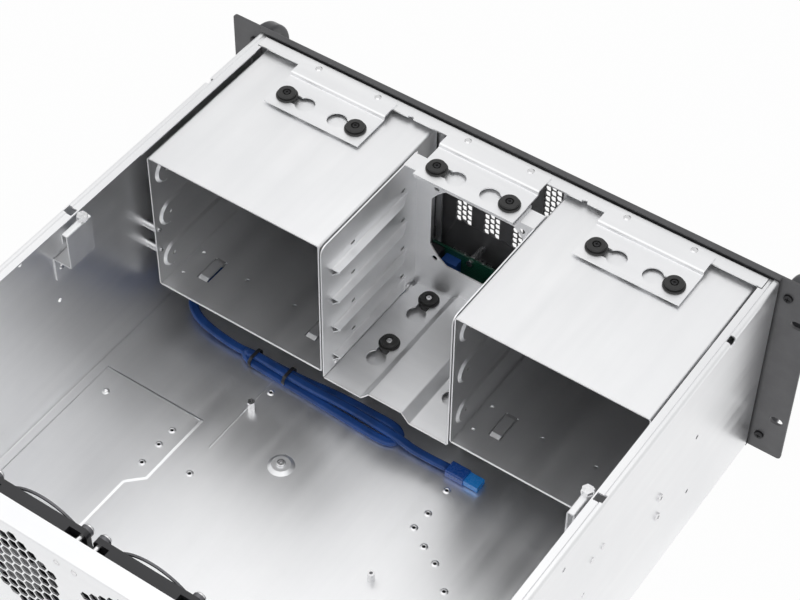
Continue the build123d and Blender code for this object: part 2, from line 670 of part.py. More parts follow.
def middle_cage_base():
    """Base of the middle cage with the fan plate folded up at its front."""
    rear = CAGE_Y + CAGE_D
    base = along_y(base_section(), MID_Y, rear)
    reach = MID_X
    shelf_z = CAGE_TOP
    opening = Circle(FAN_OPEN_R) & Rectangle(FAN_OPEN_W, FAN_OPEN_H)
    opening = (Pos(0, FAN_Z) * opening).face().outer_wire()
    holes = [opening]
    for x, z in fan_holes(0, FAN_Z, FAN_HOLES):
        holes.append(circle(x, z, FAN_HOLE_R))
    corner = shelf_z - 6
    outline = ring([(-reach, MID_Z - CAGE_SHEET / 2), (reach, MID_Z - CAGE_SHEET / 2), (reach, corner),
                    (BRACKET_W / 2, corner), (BRACKET_W / 2, shelf_z), (-BRACKET_W / 2, shelf_z),
                    (-BRACKET_W / 2, corner), (-reach, corner)])
    base += plate(outline, holes, MID_Y, MID_Y + CAGE_SHEET)
    relief = MID_Y + CAGE_SHEET
    shelf = block(-BRACKET_W / 2, BRACKET_W / 2, MID_Y, MID_Y + SHELF_D, shelf_z - CAGE_SHEET, shelf_z)
    base += shelf
    cuts = []
    for x in (-1, 1):
        cuts.append(block(x * (reach - 2.6), x * (reach + 1), relief, relief + 5, MID_Z - 3, MID_Z + 3))
        cuts.append(rod_z(x * GROMMET_X, GROMMET_Y, SCREW_R + SEAT, shelf_z - 3, shelf_z + 1))
        for y in BASE_GROMMET_Y:
            slot_x = x * BASE_GROMMET_X
            cuts += keyhole(slot_x, y + BASE_KEYHOLE_DY, slot_x, y, MID_Z - 3, MID_Z + 2)
        for y in mid_rivet_ys():
            cuts.append(rod_z(x * mid_rivet_x(), y, RIVET_R + SEAT, MID_Z - 3, MID_Z + 2))
    return base - cuts


def mid_rivet_x():
    return MID_X - MID_FLANGE / 2 - 0.6


def mid_rivet_ys():
    return [FACE + 46.5, FACE + 90.6, FACE + 135.6]


def middle_cage_wall():
    """Left wall of the middle cage, with four lanced ribs for drives."""
    y0 = MID_Y
    y1 = CAGE_Y + CAGE_D
    z0 = MID_Z - CAGE_SHEET
    outline = ring([(y0, z0), (y1, z0), (y1, MID_TOP), (y0, MID_TOP)])
    wall = along_x(Face(outline), MID_X, MID_X + CAGE_SHEET)
    corner = wall.edges().filter_by(Axis.X).sort_by(Axis.Z)[-2:].sort_by(Axis.Y)[-1]
    wall = fillet(corner, MID_CORNER)
    flange_y = y0 + CAGE_SHEET + 6
    wall += block(MID_X - MID_FLANGE, MID_X, flange_y, y1 - 3, MID_Z, MID_Z + CAGE_SHEET)
    tab_z = CAGE_TOP - 2.2
    wall += block(MID_X - 10.5, MID_X + CAGE_SHEET, MID_Y + 2.5, MID_Y + 17, tab_z, tab_z + CAGE_SHEET)
    cuts = []
    ribs = []
    for i in range(RIBS):
        z = MID_Z + RIB_Z + i * RIB_PITCH
        bulge = ThreePointArc((MID_X, z - RIB_W / 2), (MID_X - RIB_DEPTH, z), (MID_X, z + RIB_W / 2))
        closing = Line((MID_X, z + RIB_W / 2), (MID_X, z - RIB_W / 2))
        ribs.append(along_y(make_face([bulge, closing]), *RIB_Y))
        hollow = ThreePointArc((MID_X + CAGE_SHEET, z - RIB_W / 2 + 0.2), (MID_X - RIB_DEPTH + 0.9, z),
                               (MID_X + CAGE_SHEET, z + RIB_W / 2 - 0.2))
        back = Line((MID_X + CAGE_SHEET, z + RIB_W / 2 - 0.2), (MID_X + CAGE_SHEET, z - RIB_W / 2 + 0.2))
        cuts.append(along_y(make_face([hollow, back]), RIB_Y[0] + 3, RIB_Y[1] + 2.4))
        for y in (FACE + 52.1, FACE + 112.6):
            cuts.append(along_x(Face(stadium(y, z + 5.6, 4.6, 1.2)), MID_X - 1, MID_X + 3))
    for y in mid_rivet_ys():
        cuts.append(rod_z(mid_rivet_x(), y, RIVET_R + SEAT, MID_Z - 1, MID_Z + 3))
    return (wall + ribs) - cuts


def middle_cage_foot():
    """Bracket that carries the middle cage over the floor."""
    top = MID_Z - CAGE_SHEET
    points = [(-FOOT_X - FOOT_FLANGE, SHEET + CAGE_SHEET), (-FOOT_X, SHEET + CAGE_SHEET), (-FOOT_X, top),
              (FOOT_X, top), (FOOT_X, SHEET + CAGE_SHEET), (FOOT_X + FOOT_FLANGE, SHEET + CAGE_SHEET)]
    section = folded(points, [0.9, 2.1, 2.1, 0.9], CAGE_SHEET, Side.RIGHT)
    foot = along_y(section, *FOOT_Y)
    cuts = []
    for x in (-1, 1):
        for y in BASE_GROMMET_Y:
            cuts.append(rod_z(x * BASE_GROMMET_X, y, SCREW_R + SEAT, top - 3, top + 1))
    return foot - cuts


def bracket_mid_x(side):
    return side * (CAGE_IN + CAGE_W / 2)


def bracket_rivet_xs(side):
    return [bracket_mid_x(side) - BRACKET_RIVET_X, bracket_mid_x(side) + BRACKET_RIVET_X]


def top_bracket(side):
    """Z-shaped bracket from the front frame to a cage, with two keyholes."""
    mid = bracket_mid_x(side)
    low = CAGE_TOP + SHEET
    high = BODY_H + SHEET
    points = [(BRACKET_Y[0], high), (BRACKET_Y[1], high), (BRACKET_Y[1], low), (BRACKET_Y[2], low)]
    section = folded(points, [1.9, 0.7], SHEET, Side.RIGHT)
    bracket = along_x(section, mid - BRACKET_W / 2, mid + BRACKET_W / 2)
    cuts = []
    for x in (-1, 1):
        cuts += keyhole(mid + x * KEYHOLE_X, GROMMET_Y, mid + x * GROMMET_X, GROMMET_Y, low - 3, low + 2)
    for x in bracket_rivet_xs(side):
        cuts.append(rod_z(x, BRACKET_RIVET_Y, RIVET_R + SEAT, high - 3, high + 2))
    return bracket - cuts


def grommet(x, y, z, thickness):
    """Rubber bush on a plate whose top lies at z."""
    body = rod_z(x, y, GROMMET_R, z, z + GROMMET_H)
    body = fillet(body.edges().filter_by(GeomType.CIRCLE).sort_by(Axis.Z)[-1], 1.0)
    body += rod_z(x, y, KEYHOLE_SLOT_R - SEAT, z - thickness, z)
    body -= rod_z(x, y, RECESS_R, z + GROMMET_H - RECESS_D, z + GROMMET_H + 1)
    return body - rod_z(x, y, SCREW_R + SEAT, z - thickness - 1, z + GROMMET_H)


def screw(reach, head_r=SCREW_HEAD_R, head_h=SCREW_HEAD_H, radius=SCREW_R):
    """A pan-head screw: its head stands on z 0, its shank goes down."""
    head = Pos(0, 0, head_h / 2) * Cylinder(head_r, head_h)
    head = fillet(head.edges().filter_by(GeomType.CIRCLE).sort_by(Axis.Z)[-1], head_h * 0.45)
    head += Pos(0, 0, -reach / 2) * Cylinder(radius, reach)
    slot = 0.7
    cross = Box(head_r * 1.1, slot, head_h) + Box(slot, head_r * 1.1, head_h)
    return head - Pos(0, 0, head_h) * cross


def bracket_grommets():
    low = CAGE_TOP + SHEET
    spots = [bracket_mid_x(side) + x * GROMMET_X for side in (-1, 0, 1) for x in (-1, 1)]
    return [grommet(x, GROMMET_Y, low, SHEET) for x in spots]


def bracket_screws():
    z = CAGE_TOP + SHEET + GROMMET_H - RECESS_D
    spots = [bracket_mid_x(side) + x * GROMMET_X for side in (-1, 0, 1) for x in (-1, 1)]
    return [Pos(x, GROMMET_Y, z) * screw(GROMMET_H + SHEET + 1.6) for x in spots]


def base_grommets():
    spots = [(x * BASE_GROMMET_X, y) for x in (-1, 1) for y in BASE_GROMMET_Y]
    return [grommet(x, y, MID_Z, CAGE_SHEET) for x, y in spots]


def base_screws():
    z = MID_Z + GROMMET_H - RECESS_D
    spots = [(x * BASE_GROMMET_X, y) for x in (-1, 1) for y in BASE_GROMMET_Y]
    return [Pos(x, y, z) * screw(GROMMET_H + CAGE_SHEET + 1.6) for x, y in spots]


def rivet(grip):
    """A solid rivet that clamps a stack of sheets below z 0."""
    head = Pos(0, 0, RIVET_HEAD_H / 2) * Cone(RIVET_HEAD_R, RIVET_HEAD_R * 0.6, RIVET_HEAD_H)
    tail = Pos(0, 0, -grip - RIVET_HEAD_H / 2) * Cylinder(RIVET_HEAD_R * 0.8, RIVET_HEAD_H)
    return head + Pos(0, 0, -grip / 2) * Cylinder(RIVET_R, grip) + tail


def sheet_rivets():
    """Rivets of the top brackets, the middle cage and the bar brackets."""
    rivets = []
    for side in (-1, 0, 1):
        for x in bracket_rivet_xs(side):
            rivets.append(Pos(x, BRACKET_RIVET_Y, BODY_H + SHEET) * rivet(2 * SHEET))
    for x in (-1, 1):
        for y in mid_rivet_ys():
            rivets.append(Pos(x * mid_rivet_x(), y, MID_Z + CAGE_SHEET) * rivet(2 * CAGE_SHEET))
        for y in bar_screw_ys():
            turn = Rot(0, -90 * x, 0)
            rivets.append(Pos(x * (BODY_W / 2 - 2 * SHEET), y, bar_screw_z()) * turn * rivet(2 * SHEET))
    return rivets


def side_spacers():
    """Round spacers between the tub's walls and the cages."""
    spacers = []
    x0 = CAGE_IN + CAGE_W + EMBOSS_DEPTH
    x1 = BODY_W / 2 - SHEET
    for side in (-1, 1):
        for z in SIDE_SCREW_Z:
            tube = rod_x(SIDE_SCREW_Y, z, SPACER_R, side * x0, side * x1)
            tube += rod_x(SIDE_SCREW_Y, z, SPACER_R, side * (x0 - EMBOSS_DEPTH), side * x0)
            spacers.append(tube - rod_x(SIDE_SCREW_Y, z, SCREW_R + SEAT, side * (x0 - 2), side * (x1 + 1)))
    return spacers


def side_screws():
    screws = []
    reach = BODY_W / 2 - CAGE_IN - CAGE_W + CAGE_SHEET + 1.0
    for side in (-1, 1):
        for z in SIDE_SCREW_Z:
            screws.append(Pos(side * BODY_W / 2, SIDE_SCREW_Y, z) * Rot(0, 90 * side, 0) * screw(reach))
    return screws


def handle_screw_set():
    """Screws that hold the handles, put in from behind the ears."""
    screws = []
    for side in (-1, 1):
        for x, z in handle_screws():
            bolt = screw(11, 3.4, 2.0, HANDLE_SCREW_R)
            screws.append(Pos(side * x, FACE + PANEL_T, z) * Rot(-90, 0, 0) * bolt)
    return screws


def bar_bracket():
    """Left bracket for a hold-down bar: wall foot, shelf and upright strip."""
    wall_x = BODY_W / 2 - SHEET
    near = BAR_X - BAR_W / 2 + SHEET
    far = BAR_X + BAR_W / 2 - SHEET
    top = BAR_TOP - SHEET
    points = [(wall_x, BAR_FOOT), (wall_x, BAR_SHELF), (near, BAR_SHELF), (near, top), (far, top),
              (far, top - BAR_LIP)]
    section = folded(points, [1.6, 0.6, 0.2, 0.2], SHEET, Side.LEFT)
    bracket = along_y(section, *BAR_Y)
    cuts = [rod_x(y, bar_screw_z(), RIVET_R + SEAT, wall_x - 3, wall_x + 1) for y in bar_screw_ys()]
    cuts.append(rod_z(BAR_X, bar_bolt_y(), BAR_BOLT_R + SEAT, BAR_TOP - 3, BAR_TOP + 1))
    return bracket - cuts


def bar_bolt_y():
    return BAR_Y[0] + 5.5


def hex_bolt():
    """A hexagon-head bolt with its washer: the washer lies on z 0."""
    head = extrude(Pos(0, 0, 0.8) * RegularPolygon(HEX_AF / 2, 6, major_radius=False), 3.0)
    head += Pos(0, 0, 0.4) * Cylinder(HEX_AF * 0.6, 0.8)
    return head + Pos(0, 0, -3) * Cylinder(BAR_BOLT_R, 6)


def bar_bolts():
    return [Pos(x * BAR_X, bar_bolt_y(), BAR_TOP) * hex_bolt() for x in (-1, 1)]


def board_standoffs():
    """Threaded hexagon posts for the main board."""
    posts = []
    for x, y in zip(STANDOFF_X, STANDOFF_Y):
        post = extrude(Pos(x, y, SHEET) * RegularPolygon(STANDOFF_AF / 2, 6, major_radius=False), STANDOFF_H)
        post += rod_z(x, y, SCREW_R, 0, SHEET)
        posts.append(post - rod_z(x, y, 1.2, SHEET + 2, SHEET + STANDOFF_H + 1))
    return posts


def boss_screw():
    return Pos(BOSS_X, BOSS_Y, SHEET + BOSS_H) * screw(BOSS_H + SHEET - 1.5, 3.4, 1.8)


def bay_cover(side, level):
    """Blank of one drive bay: a face with a rim behind it."""
    x0, x1, z0, z1 = bay_hole()
    pitch = (z1 - z0 + 0.8) / BAYS
    gap = 0.25
    low = z0 - 0.4 + level * pitch + gap
    high = low + pitch - 2 * gap
    left = x0 - 0.4 + gap
    right = x1 + 0.4 - gap
    cover = block(left, right, FACE, FACE + 2, low, high)
    inset = 1.2
    rim = block(left + inset, right - inset, FACE + 2, FACE + 13, low + inset, high - inset)
    deep = inset + 1.4
    rim -= block(left + deep, right - deep, FACE + 2, FACE + 14, low + deep, high - deep)
    cover += rim
    back = FRAME_Y + SHEET
    middle = (low + high) / 2
    for x0, x1 in ((left + inset - 2, left + inset + 0.5), (right - inset - 0.5, right - inset + 2)):
        cover += block(x0, x1, back, back + 1.2, middle - 5, middle + 5)
    return cover if side > 0 else mirrored(cover)


def fan_housing(x):
    """Square fan frame with its motor seat and four struts."""
    y0 = REAR - SHEET - FAN_T
    y1 = REAR - SHEET
    outline = (Pos(x, REAR_FAN_Z) * RectangleRounded(FAN_SIZE, FAN_SIZE, FAN_CORNER)).face().outer_wire()
    holes = [circle(x, REAR_FAN_Z, FAN_BORE_R)]
    for hx, hz in fan_holes(x, REAR_FAN_Z, FAN_HOLES):
        holes.append(circle(hx, hz, 2.15))
    frame = plate(outline, holes, y0, y1)
    waist = Rectangle(FAN_SIZE + 2, FAN_SIZE + 2) - Circle(FAN_BORE_R + 2.0)
    waist -= Rectangle(FAN_SIZE - 26, FAN_SIZE + 4)
    waist -= Rectangle(FAN_SIZE + 4, FAN_SIZE - 26)
    frame -= along_y(Pos(x, REAR_FAN_Z) * waist, y0 + 4, y1 - 4)
    frame += rod_y(x, REAR_FAN_Z, HUB_R, y1 - 3, y1)
    for angle in (45, 135, 225, 315):
        strut = Pos(HUB_R + 10.4, 0, 0) * Box(22, 3.2, 2.4)
        frame += Pos(x, y1 - 1.2, REAR_FAN_Z) * Rot(90, 0, 0) * Rot(0, 0, angle) * strut
    frame += rod_y(x, REAR_FAN_Z, SHAFT_R, y1 - 14, y1 - 3)
    return frame


def fan_rotor(x):
    """Hub cup with twisted blades, turning on the housing's shaft."""
    y1 = REAR - SHEET - 3.5
    y0 = REAR - SHEET - FAN_T + 2.0
    hub = rod_y(x, REAR_FAN_Z, HUB_R, y0, y1)
    hub = fillet(hub.edges().filter_by(GeomType.CIRCLE).sort_by(Axis.Y)[0], 2.0)
    hub -= rod_y(x, REAR_FAN_Z, HUB_R - 1.5, y1 - 8, y1 + 1)
    hub -= rod_y(x, REAR_FAN_Z, SHAFT_R + BUTTON_GAP, y1 - 12, y1)
    mid_y = (y0 + y1) / 2
    sections = []
    for r, t, w in ((HUB_R - 1.2, 0.95, 16.0), (28.0, 0.66, 19.0), (FAN_BORE_R - 0.8, 0.46, 21.0)):
        twisted = Plane(origin=(0, 0, r), x_dir=(math.cos(t), math.sin(t), 0), z_dir=(0, 0, 1))
        sections.append(twisted * Rectangle(w, 1.3))
    blade = loft(sections)
    trim = rod_y(0, 0, FAN_BORE_R - 0.8, -12, 12) & Box(200, 17.5, 200)
    blade = blade & trim
    for i in range(BLADES):
        hub += Pos(x, mid_y, REAR_FAN_Z) * Rot(0, 360 / BLADES * i, 0) * blade
    return hub


def fan_guard(x):
    """Wire finger guard: rings, two crossing wires and four eyes."""
    y = REAR - SHEET - FAN_T - 2.6
    wire = 1.5
    guard = None
    for radius in (12, 21, 30, 39):
        inner = circle(x, REAR_FAN_Z, radius - wire / 2)
        band = along_y(Face(circle(x, REAR_FAN_Z, radius + wire / 2), [inner]), y - wire, y)
        guard = band if guard is None else guard + band
    reach = FAN_HOLES / math.sqrt(2)
    for angle in (45, 135):
        bar = Box(2 * (reach - 3), wire, wire)
        guard += Pos(x, y + wire / 2, REAR_FAN_Z) * Rot(0, angle, 0) * bar
    for hx, hz in fan_holes(x, REAR_FAN_Z, FAN_HOLES):
        eye = rod_y(hx, hz, 4.4, y, REAR - SHEET - FAN_T) - rod_y(hx, hz, 2.15, y - 2, REAR)
        guard += eye
    return guard


def fan_screws():
    """Long screws through the fans, put in from the guards' side."""
    screws = []
    seat = REAR - SHEET - FAN_T - 2.6
    for fan_x in REAR_FAN_X:
        for x, z in fan_holes(fan_x, REAR_FAN_Z, FAN_HOLES):
            screws.append(Pos(x, seat, z) * Rot(90, 0, 0) * screw(REAR - seat, 3.6, 1.9, 2.0))
    return screws


def slot_covers():
    """Blanks of the card slots, screwed to the inside of the rear wall."""
    covers = []
    y1 = REAR - SHEET
    for x in slot_xs():
        outline = rectangle(x - COVER_W / 2, x + COVER_W / 2, *COVER_Z)
        covers.append(plate(outline, [circle(x, COVER_SCREW_Z, SCREW_R + SEAT)], y1 - COVER_T, y1))
    return covers


def slot_screws():
    seat = REAR - SHEET - COVER_T
    bolt = Rot(90, 0, 0) * screw(COVER_T + SHEET, 3.2, 1.8)
    return [Pos(x, seat, COVER_SCREW_Z) * bolt for x in slot_xs()]


def front_board():
    """Upright board behind the front panel with the bodies of its switches."""
    holes = [circle(x, z, 1.6) for x, z in board_corners()]
    board = plate(rectangle(*BOARD_X, *BOARD_Z), holes, BOARD_Y, BOARD_Y + BOARD_T)
    for x, half in ((BUTTON_X, 4.5), (RESET_X, 3.0)):
        board += block(x - half, x + half, BOARD_Y - 5, BOARD_Y, BUTTON_Z - half, BUTTON_Z + half)
    return board


def board_corners():
    high = BOARD_Z[1] - 4
    low = BOARD_Z[0] + 4
    return [(BOARD_X[0] + 4, low), (BOARD_X[0] + 4, high), (BOARD_X[1] - 4, low), (BOARD_X[1] - 33, high)]


def board_spacers():
    """Hexagon spacers with screws between the front panel and the board."""
    posts = []
    for x, z in board_corners():
        post = along_y(Pos(x, z) * RegularPolygon(2.5, 6, major_radius=False), FACE + PANEL_T, BOARD_Y)
        post += rod_y(x, z, 1.6 - SEAT, BOARD_Y, BOARD_Y + BOARD_T)
        posts.append(post + rod_y(x, z, 2.8, BOARD_Y + BOARD_T, BOARD_Y + BOARD_T + 1.6))
    return posts


def usb_sockets():
    """Metal shells of the sockets, each with its tongue."""
    sockets = []
    for x in USB_X:
        wide = USB_W / 2
        tall = USB_H / 2
        shell = block(x - wide, x + wide, FACE + 0.3, BOARD_Y, USB_Z - tall, USB_Z + tall)
        wide -= 0.4
        tall -= 0.4
        shell -= block(x - wide, x + wide, FACE - 1, BOARD_Y - 5, USB_Z - tall, USB_Z + tall)
        sockets.append(shell + block(x - 5.3, x + 5.3, FACE + 1.6, BOARD_Y - 4, USB_Z + 0.1, USB_Z + 1.9))
    return sockets


def board_header():
    """Box header with its pins, on the rear of the board."""
    y0 = BOARD_Y + BOARD_T
    z0 = HEADER_Z[0]
    z1 = HEADER_Z[1]
    shroud = block(*HEADER_X, y0, y0 + 8.8, z0, z1)
    shroud -= block(HEADER_X[0] + 1.2, HEADER_X[1] - 1.2, y0 + 1.6, y0 + 10, z0 + 1.2, z1 - 1.2)
    mid = (HEADER_X[0] + HEADER_X[1]) / 2
    for x in (mid - 2.5, mid, mid + 2.5):
        for z in ((z0 + z1) / 2 - 1.27, (z0 + z1) / 2 + 1.27):
            shroud += block(x - 0.32, x + 0.32, y0 + 1, y0 + 7.4, z - 0.32, z + 0.32)
    return shroud


def push_button(x, radius):
    """A cap with a flange behind the panel and a stem to its switch."""
    rear = BOARD_Y - 5
    cap = rod_y(x, BUTTON_Z, radius, FACE - BUTTON_PROUD, FACE + PANEL_T + 1)
    cap = fillet(cap.edges().filter_by(GeomType.CIRCLE).sort_by(Axis.Y)[0], 0.6)
    cap += rod_y(x, BUTTON_Z, radius + 1.4, FACE + PANEL_T + BUTTON_GAP, FACE + PANEL_T + 1.6)
    return cap + rod_y(x, BUTTON_Z, 1.4, FACE + PANEL_T + 1, rear - BUTTON_TRAVEL - 0.4)


def indicator_lights():
    lights = []
    for x in LIGHT_X:
        light = rod_y(x, LIGHT_Z, LIGHT_R, FACE - 0.5, BOARD_Y)
        lights.append(fillet(light.edges().filter_by(GeomType.CIRCLE).sort_by(Axis.Y)[0], 0.6))
    return lights


def board_plug():
    """Plug of the lead on the board; the lead leaves it downwards."""
    y0 = BOARD_Y + BOARD_T
    body = block(*BOARD_PLUG_X, y0, y0 + BOARD_PLUG_T, *BOARD_PLUG_Z)
    return fillet(body.edges().filter_by(Axis.Z), 0.8)


def board_route():
    """The lead from its plug on the board, under the left cage, to the tied hank."""
    low = LEAD_REST
    spots = [(31, 25, low), (78, 30, low), (140, 47, low), (184, 71, low), (200, 112, low + 4),
             (186, 144, low + 3)]
    start_x = (BOARD_PLUG_X[0] + BOARD_PLUG_X[1]) / 2
    start = (start_x, BOARD_Y + BOARD_T + LEAD_D / 2 + 0.4, BOARD_PLUG_Z[0] - LEAD_GAP)
    return [start] + [(x, FACE + d, z) for x, d, z in spots] + [(HANK_X[1] + LEAD_GAP, HANK_Y, low)]


def plug_route():
    """The lead from the hank to its free plug."""
    end = (PLUG_X + LEAD_GAP, HANK_Y + 2, LEAD_REST)
    return [(HANK_X[0] - 2 * LEAD_GAP, HANK_Y, LEAD_REST), (-28, HANK_Y + 3.5, LEAD_REST), end]


def bend_radii(route):
    """The radius of the arc at each inner point of a route."""
    radii = []
    for a, b, c in zip(route, route[1:], route[2:]):
        first = Vector(*b) - Vector(*a)
        second = Vector(*c) - Vector(*b)
        half_turn = math.radians(first.get_angle(second)) / 2
        radii.append(0.45 * min(first.length, second.length) / math.tan(half_turn))
    return radii


def lead(route):
    """A round tube along straight runs joined by arcs."""
    radii = bend_radii(route)
    path = FilletPolyline(*route, radius=radii)
    section = Plane(origin=path @ 0, z_dir=path % 0) * Circle(LEAD_D / 2)
    tube = sweep(section, path=path)
    share = tube.volume / (math.pi * LEAD_D ** 2 / 4 * path.length)
    print("lead radii", [round(r, 1) for r in radii])
    print("lead length", round(path.length), "volume share", round(share, 4))
    return tube


def free_plug():
    """The plug on the lead's free end, with its grip and narrower mouth."""
    y = HANK_Y + 2
    z0 = LEAD_REST - PLUG_T / 2
    x = PLUG_X
    grip = block(x - 15, x, y - PLUG_W / 2, y + PLUG_W / 2, z0, z0 + PLUG_T)
    deep = PLUG_W / 2 - 0.8
    mouth = block(x - PLUG_L, x - 15, y - deep, y + deep, z0 + 0.8, z0 + PLUG_T - 1.4)
    body = fillet(grip.edges().filter_by(Axis.X), 1.4) + mouth
    body -= block(x - PLUG_L - 1, x - PLUG_L + 6, y - 3.9, y + 3.9, z0 + 2.6, z0 + 3.9)
    return body


def hank():
    """The folded stretch of the lead, as one body with rounded ends."""
    mid = (HANK_X[0] + HANK_X[1]) / 2
    outline = Pos(mid, HANK_Y) * RectangleRounded(HANK_X[1] - HANK_X[0], HANK_W, HANK_W * 0.42)
    body = extrude(Pos(0, 0, SHEET + 0.1) * outline, HANK_T)
    return fillet(body.edges().filter_by(Plane.XY), HANK_T * 0.3)


def tie(x):
    """A cable tie drawn round the hank, with its head on top."""
    z0 = SHEET + 0.1
    near = HANK_Y - HANK_W / 2
    far = HANK_Y + HANK_W / 2
    half = TIE_W / 2
    inner = block(x - 5, x + 5, near, far, z0, z0 + HANK_T)
    band = block(x - half, x + half, near - TIE_T, far + TIE_T, SHEET + 0.05, z0 + HANK_T + TIE_T)
    head = block(x - 2.4, x + 2.4, HANK_Y + 2, HANK_Y + 7, z0 + HANK_T, z0 + HANK_T + 3.4)
    return (band + head) - inner


def write(name, shape):
    solids = shape if isinstance(shape, list) else [shape]
    solids = [solid for item in solids for solid in item.solids()]
    result = solids[0] if len(solids) == 1 else Compound(children=solids)
    export_step(result, "parts/" + name + ".step")


def build():
    """Every piece of the case by name."""
    pieces = {"chassis_tub": chassis_tub(), "rear_panel": rear_panel(), "front_frame": front_frame(),
              "front_panel": front_panel(), "handle_left": handle(), "handle_right": mirrored(handle()),
              "handle_screws": handle_screw_set(), "bracket_grommets": bracket_grommets(),
              "bracket_screws": bracket_screws(), "base_grommets": base_grommets(),
              "base_screws": base_screws(),
              "sheet_rivets": sheet_rivets(), "side_spacers": side_spacers(), "side_screws": side_screws(),
              "middle_cage_base": middle_cage_base(), "middle_cage_foot": middle_cage_foot(),
              "bar_bolts": bar_bolts(), "board_standoffs": board_standoffs(), "boss_screw": boss_screw(),
              "fan_screws": fan_screws(), "slot_covers": slot_covers(), "slot_screws": slot_screws(),
              "front_board": front_board(), "board_spacers": board_spacers(), "usb_sockets": usb_sockets(),
              "board_header": board_header(), "power_button": push_button(BUTTON_X, BUTTON_R),
              "reset_button": push_button(RESET_X, RESET_R), "indicator_lights": indicator_lights(),
              "lead_tube_board": lead(board_route()), "lead_tube_plug": lead(plug_route()),
              "lead_hank": hank(), "lead_plug": free_plug(), "lead_board_plug": board_plug(),
              "lead_ties": [tie(x) for x in TIE_X]}
    left = {"drive_cage": drive_cage(), "drive_cage_floor": cage_floor(),
            "middle_cage_wall": middle_cage_wall(),
            "bar_bracket": bar_bracket()}
    for name, solid in left.items():
        pieces[name + "_left"] = solid
        pieces[name + "_right"] = mirrored(solid)
    for name, side in (("left", 1), ("middle", 0), ("right", -1)):
        pieces["top_bracket_" + name] = top_bracket(side)
    for name, side in (("left", 1), ("right", -1)):
        for level in range(BAYS):
            pieces["bay_cover_" + name + "_" + str(level + 1)] = bay_cover(side, level)
    for number, x in enumerate(REAR_FAN_X, start=1):
        pieces["fan_housing_" + str(number)] = fan_housing(x)
        pieces["fan_rotor_" + str(number)] = fan_rotor(x)
        pieces["fan_guard_" + str(number)] = fan_guard(x)
    return pieces


if __name__ == "__main__":
    os.makedirs("parts", exist_ok=True)
    for node, shape in build().items():
        write(node, shape)
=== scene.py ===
import math

import bmesh
import bpy
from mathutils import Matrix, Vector


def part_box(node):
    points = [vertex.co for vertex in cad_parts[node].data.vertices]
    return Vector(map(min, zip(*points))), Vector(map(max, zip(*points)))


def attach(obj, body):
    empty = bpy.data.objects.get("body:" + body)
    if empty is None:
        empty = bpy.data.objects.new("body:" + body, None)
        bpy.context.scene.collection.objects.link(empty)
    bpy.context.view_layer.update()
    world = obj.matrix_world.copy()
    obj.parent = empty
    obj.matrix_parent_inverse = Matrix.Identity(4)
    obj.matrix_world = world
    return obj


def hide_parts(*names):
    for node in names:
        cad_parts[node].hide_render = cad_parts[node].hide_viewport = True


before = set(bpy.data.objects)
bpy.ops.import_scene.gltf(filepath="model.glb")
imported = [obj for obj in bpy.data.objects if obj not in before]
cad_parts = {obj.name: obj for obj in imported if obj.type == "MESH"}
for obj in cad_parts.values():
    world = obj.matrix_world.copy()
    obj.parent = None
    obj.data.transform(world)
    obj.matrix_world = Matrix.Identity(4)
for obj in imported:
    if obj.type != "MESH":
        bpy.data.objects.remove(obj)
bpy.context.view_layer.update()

bl_info = {
    "name": "Rack case looks",
    "version": (1, 0, 0),
    "blender": (4, 5, 0),
    "location": "3D View > Sidebar > Rack case",
    "description": "Dresses an open rack case: plated sheet, dark front, lead, small fittings and the stage",
    "category": "Object",
}

MM = 0.001
WORDS = {1: "left", -1: "right"}

# Places and sizes in metres, as in the part's source where the two share them
FACE = -0.20565         # the front panel's face
SHEET = 0.0012
PANEL_T = 0.0022
HAIR = 0.0001           # how far a piece reaches into what it lies on, so that no face fights another

# Drive cages
CAGE_X = (0.0549, 0.2031)
CAGE_Y = (FACE + 0.0088, FACE + 0.1509)
CAGE_Z = (0.0392, 0.1699)
CAGE_SHEET = 0.0010
CAGE_FLANGE = 0.0140
BEND = 0.0012
BAYS = 3
EMBOSS_PITCH = 0.0432
EMBOSS_LOW = 0.0209     # middle of the lowest embossing above the cage's underside
EMBOSS_H = 0.0230
EMBOSS_Y = (CAGE_Y[0] + 0.0311, CAGE_Y[1] - 0.0054)
EMBOSS_DEPTH = 0.0016
EMBOSS_SLOPE = 0.0022
EMBOSS_HOLES = (0.0010, -0.0106)    # heights of its two holes above its middle
EMBOSS_HOLE_Y = CAGE_Y[1] - 0.0160
EMBOSS_HOLE_R = 0.0016

# Walls of the middle cage
WALL_X = 0.0529
WALL_Y = (FACE + 0.0353, FACE + 0.1509)
WALL_Z = (0.0352, 0.1678)
WALL_CORNER = 0.0060
TAB_REACH = 0.0105      # how far the tab at a wall's top reaches over the middle cage
TAB_Y = (WALL_Y[0] + 0.0025, WALL_Y[0] + 0.0170)
TAB_Z = CAGE_Z[1] - 0.0022
LEDGES = 4
LEDGE_Z = 0.0493        # top of the lowest ledge
LEDGE_PITCH = 0.0298
LEDGE_OUT = 0.0064
LEDGE_DROP = 0.0072
LEDGE_EDGE = 0.0009     # bend along a ledge's top edges
LEDGE_TAPER = 0.0140
LEDGE_TIP = 0.04        # share of its section at its front end
LEDGE_OPEN = 0.0280     # how deep its open rear end is
LEDGE_SKIN = (0.0014, 0.0011)       # sheet beside and under that opening
LEDGE_Y = (FACE + 0.0475, FACE + 0.1390)
WALL_HOLE_Y = (FACE + 0.0532, FACE + 0.1143)
WALL_HOLE_RISE = 0.0053             # above the ledge's top
WALL_HOLE = (0.0023, 0.0013)        # half of its length and of its height

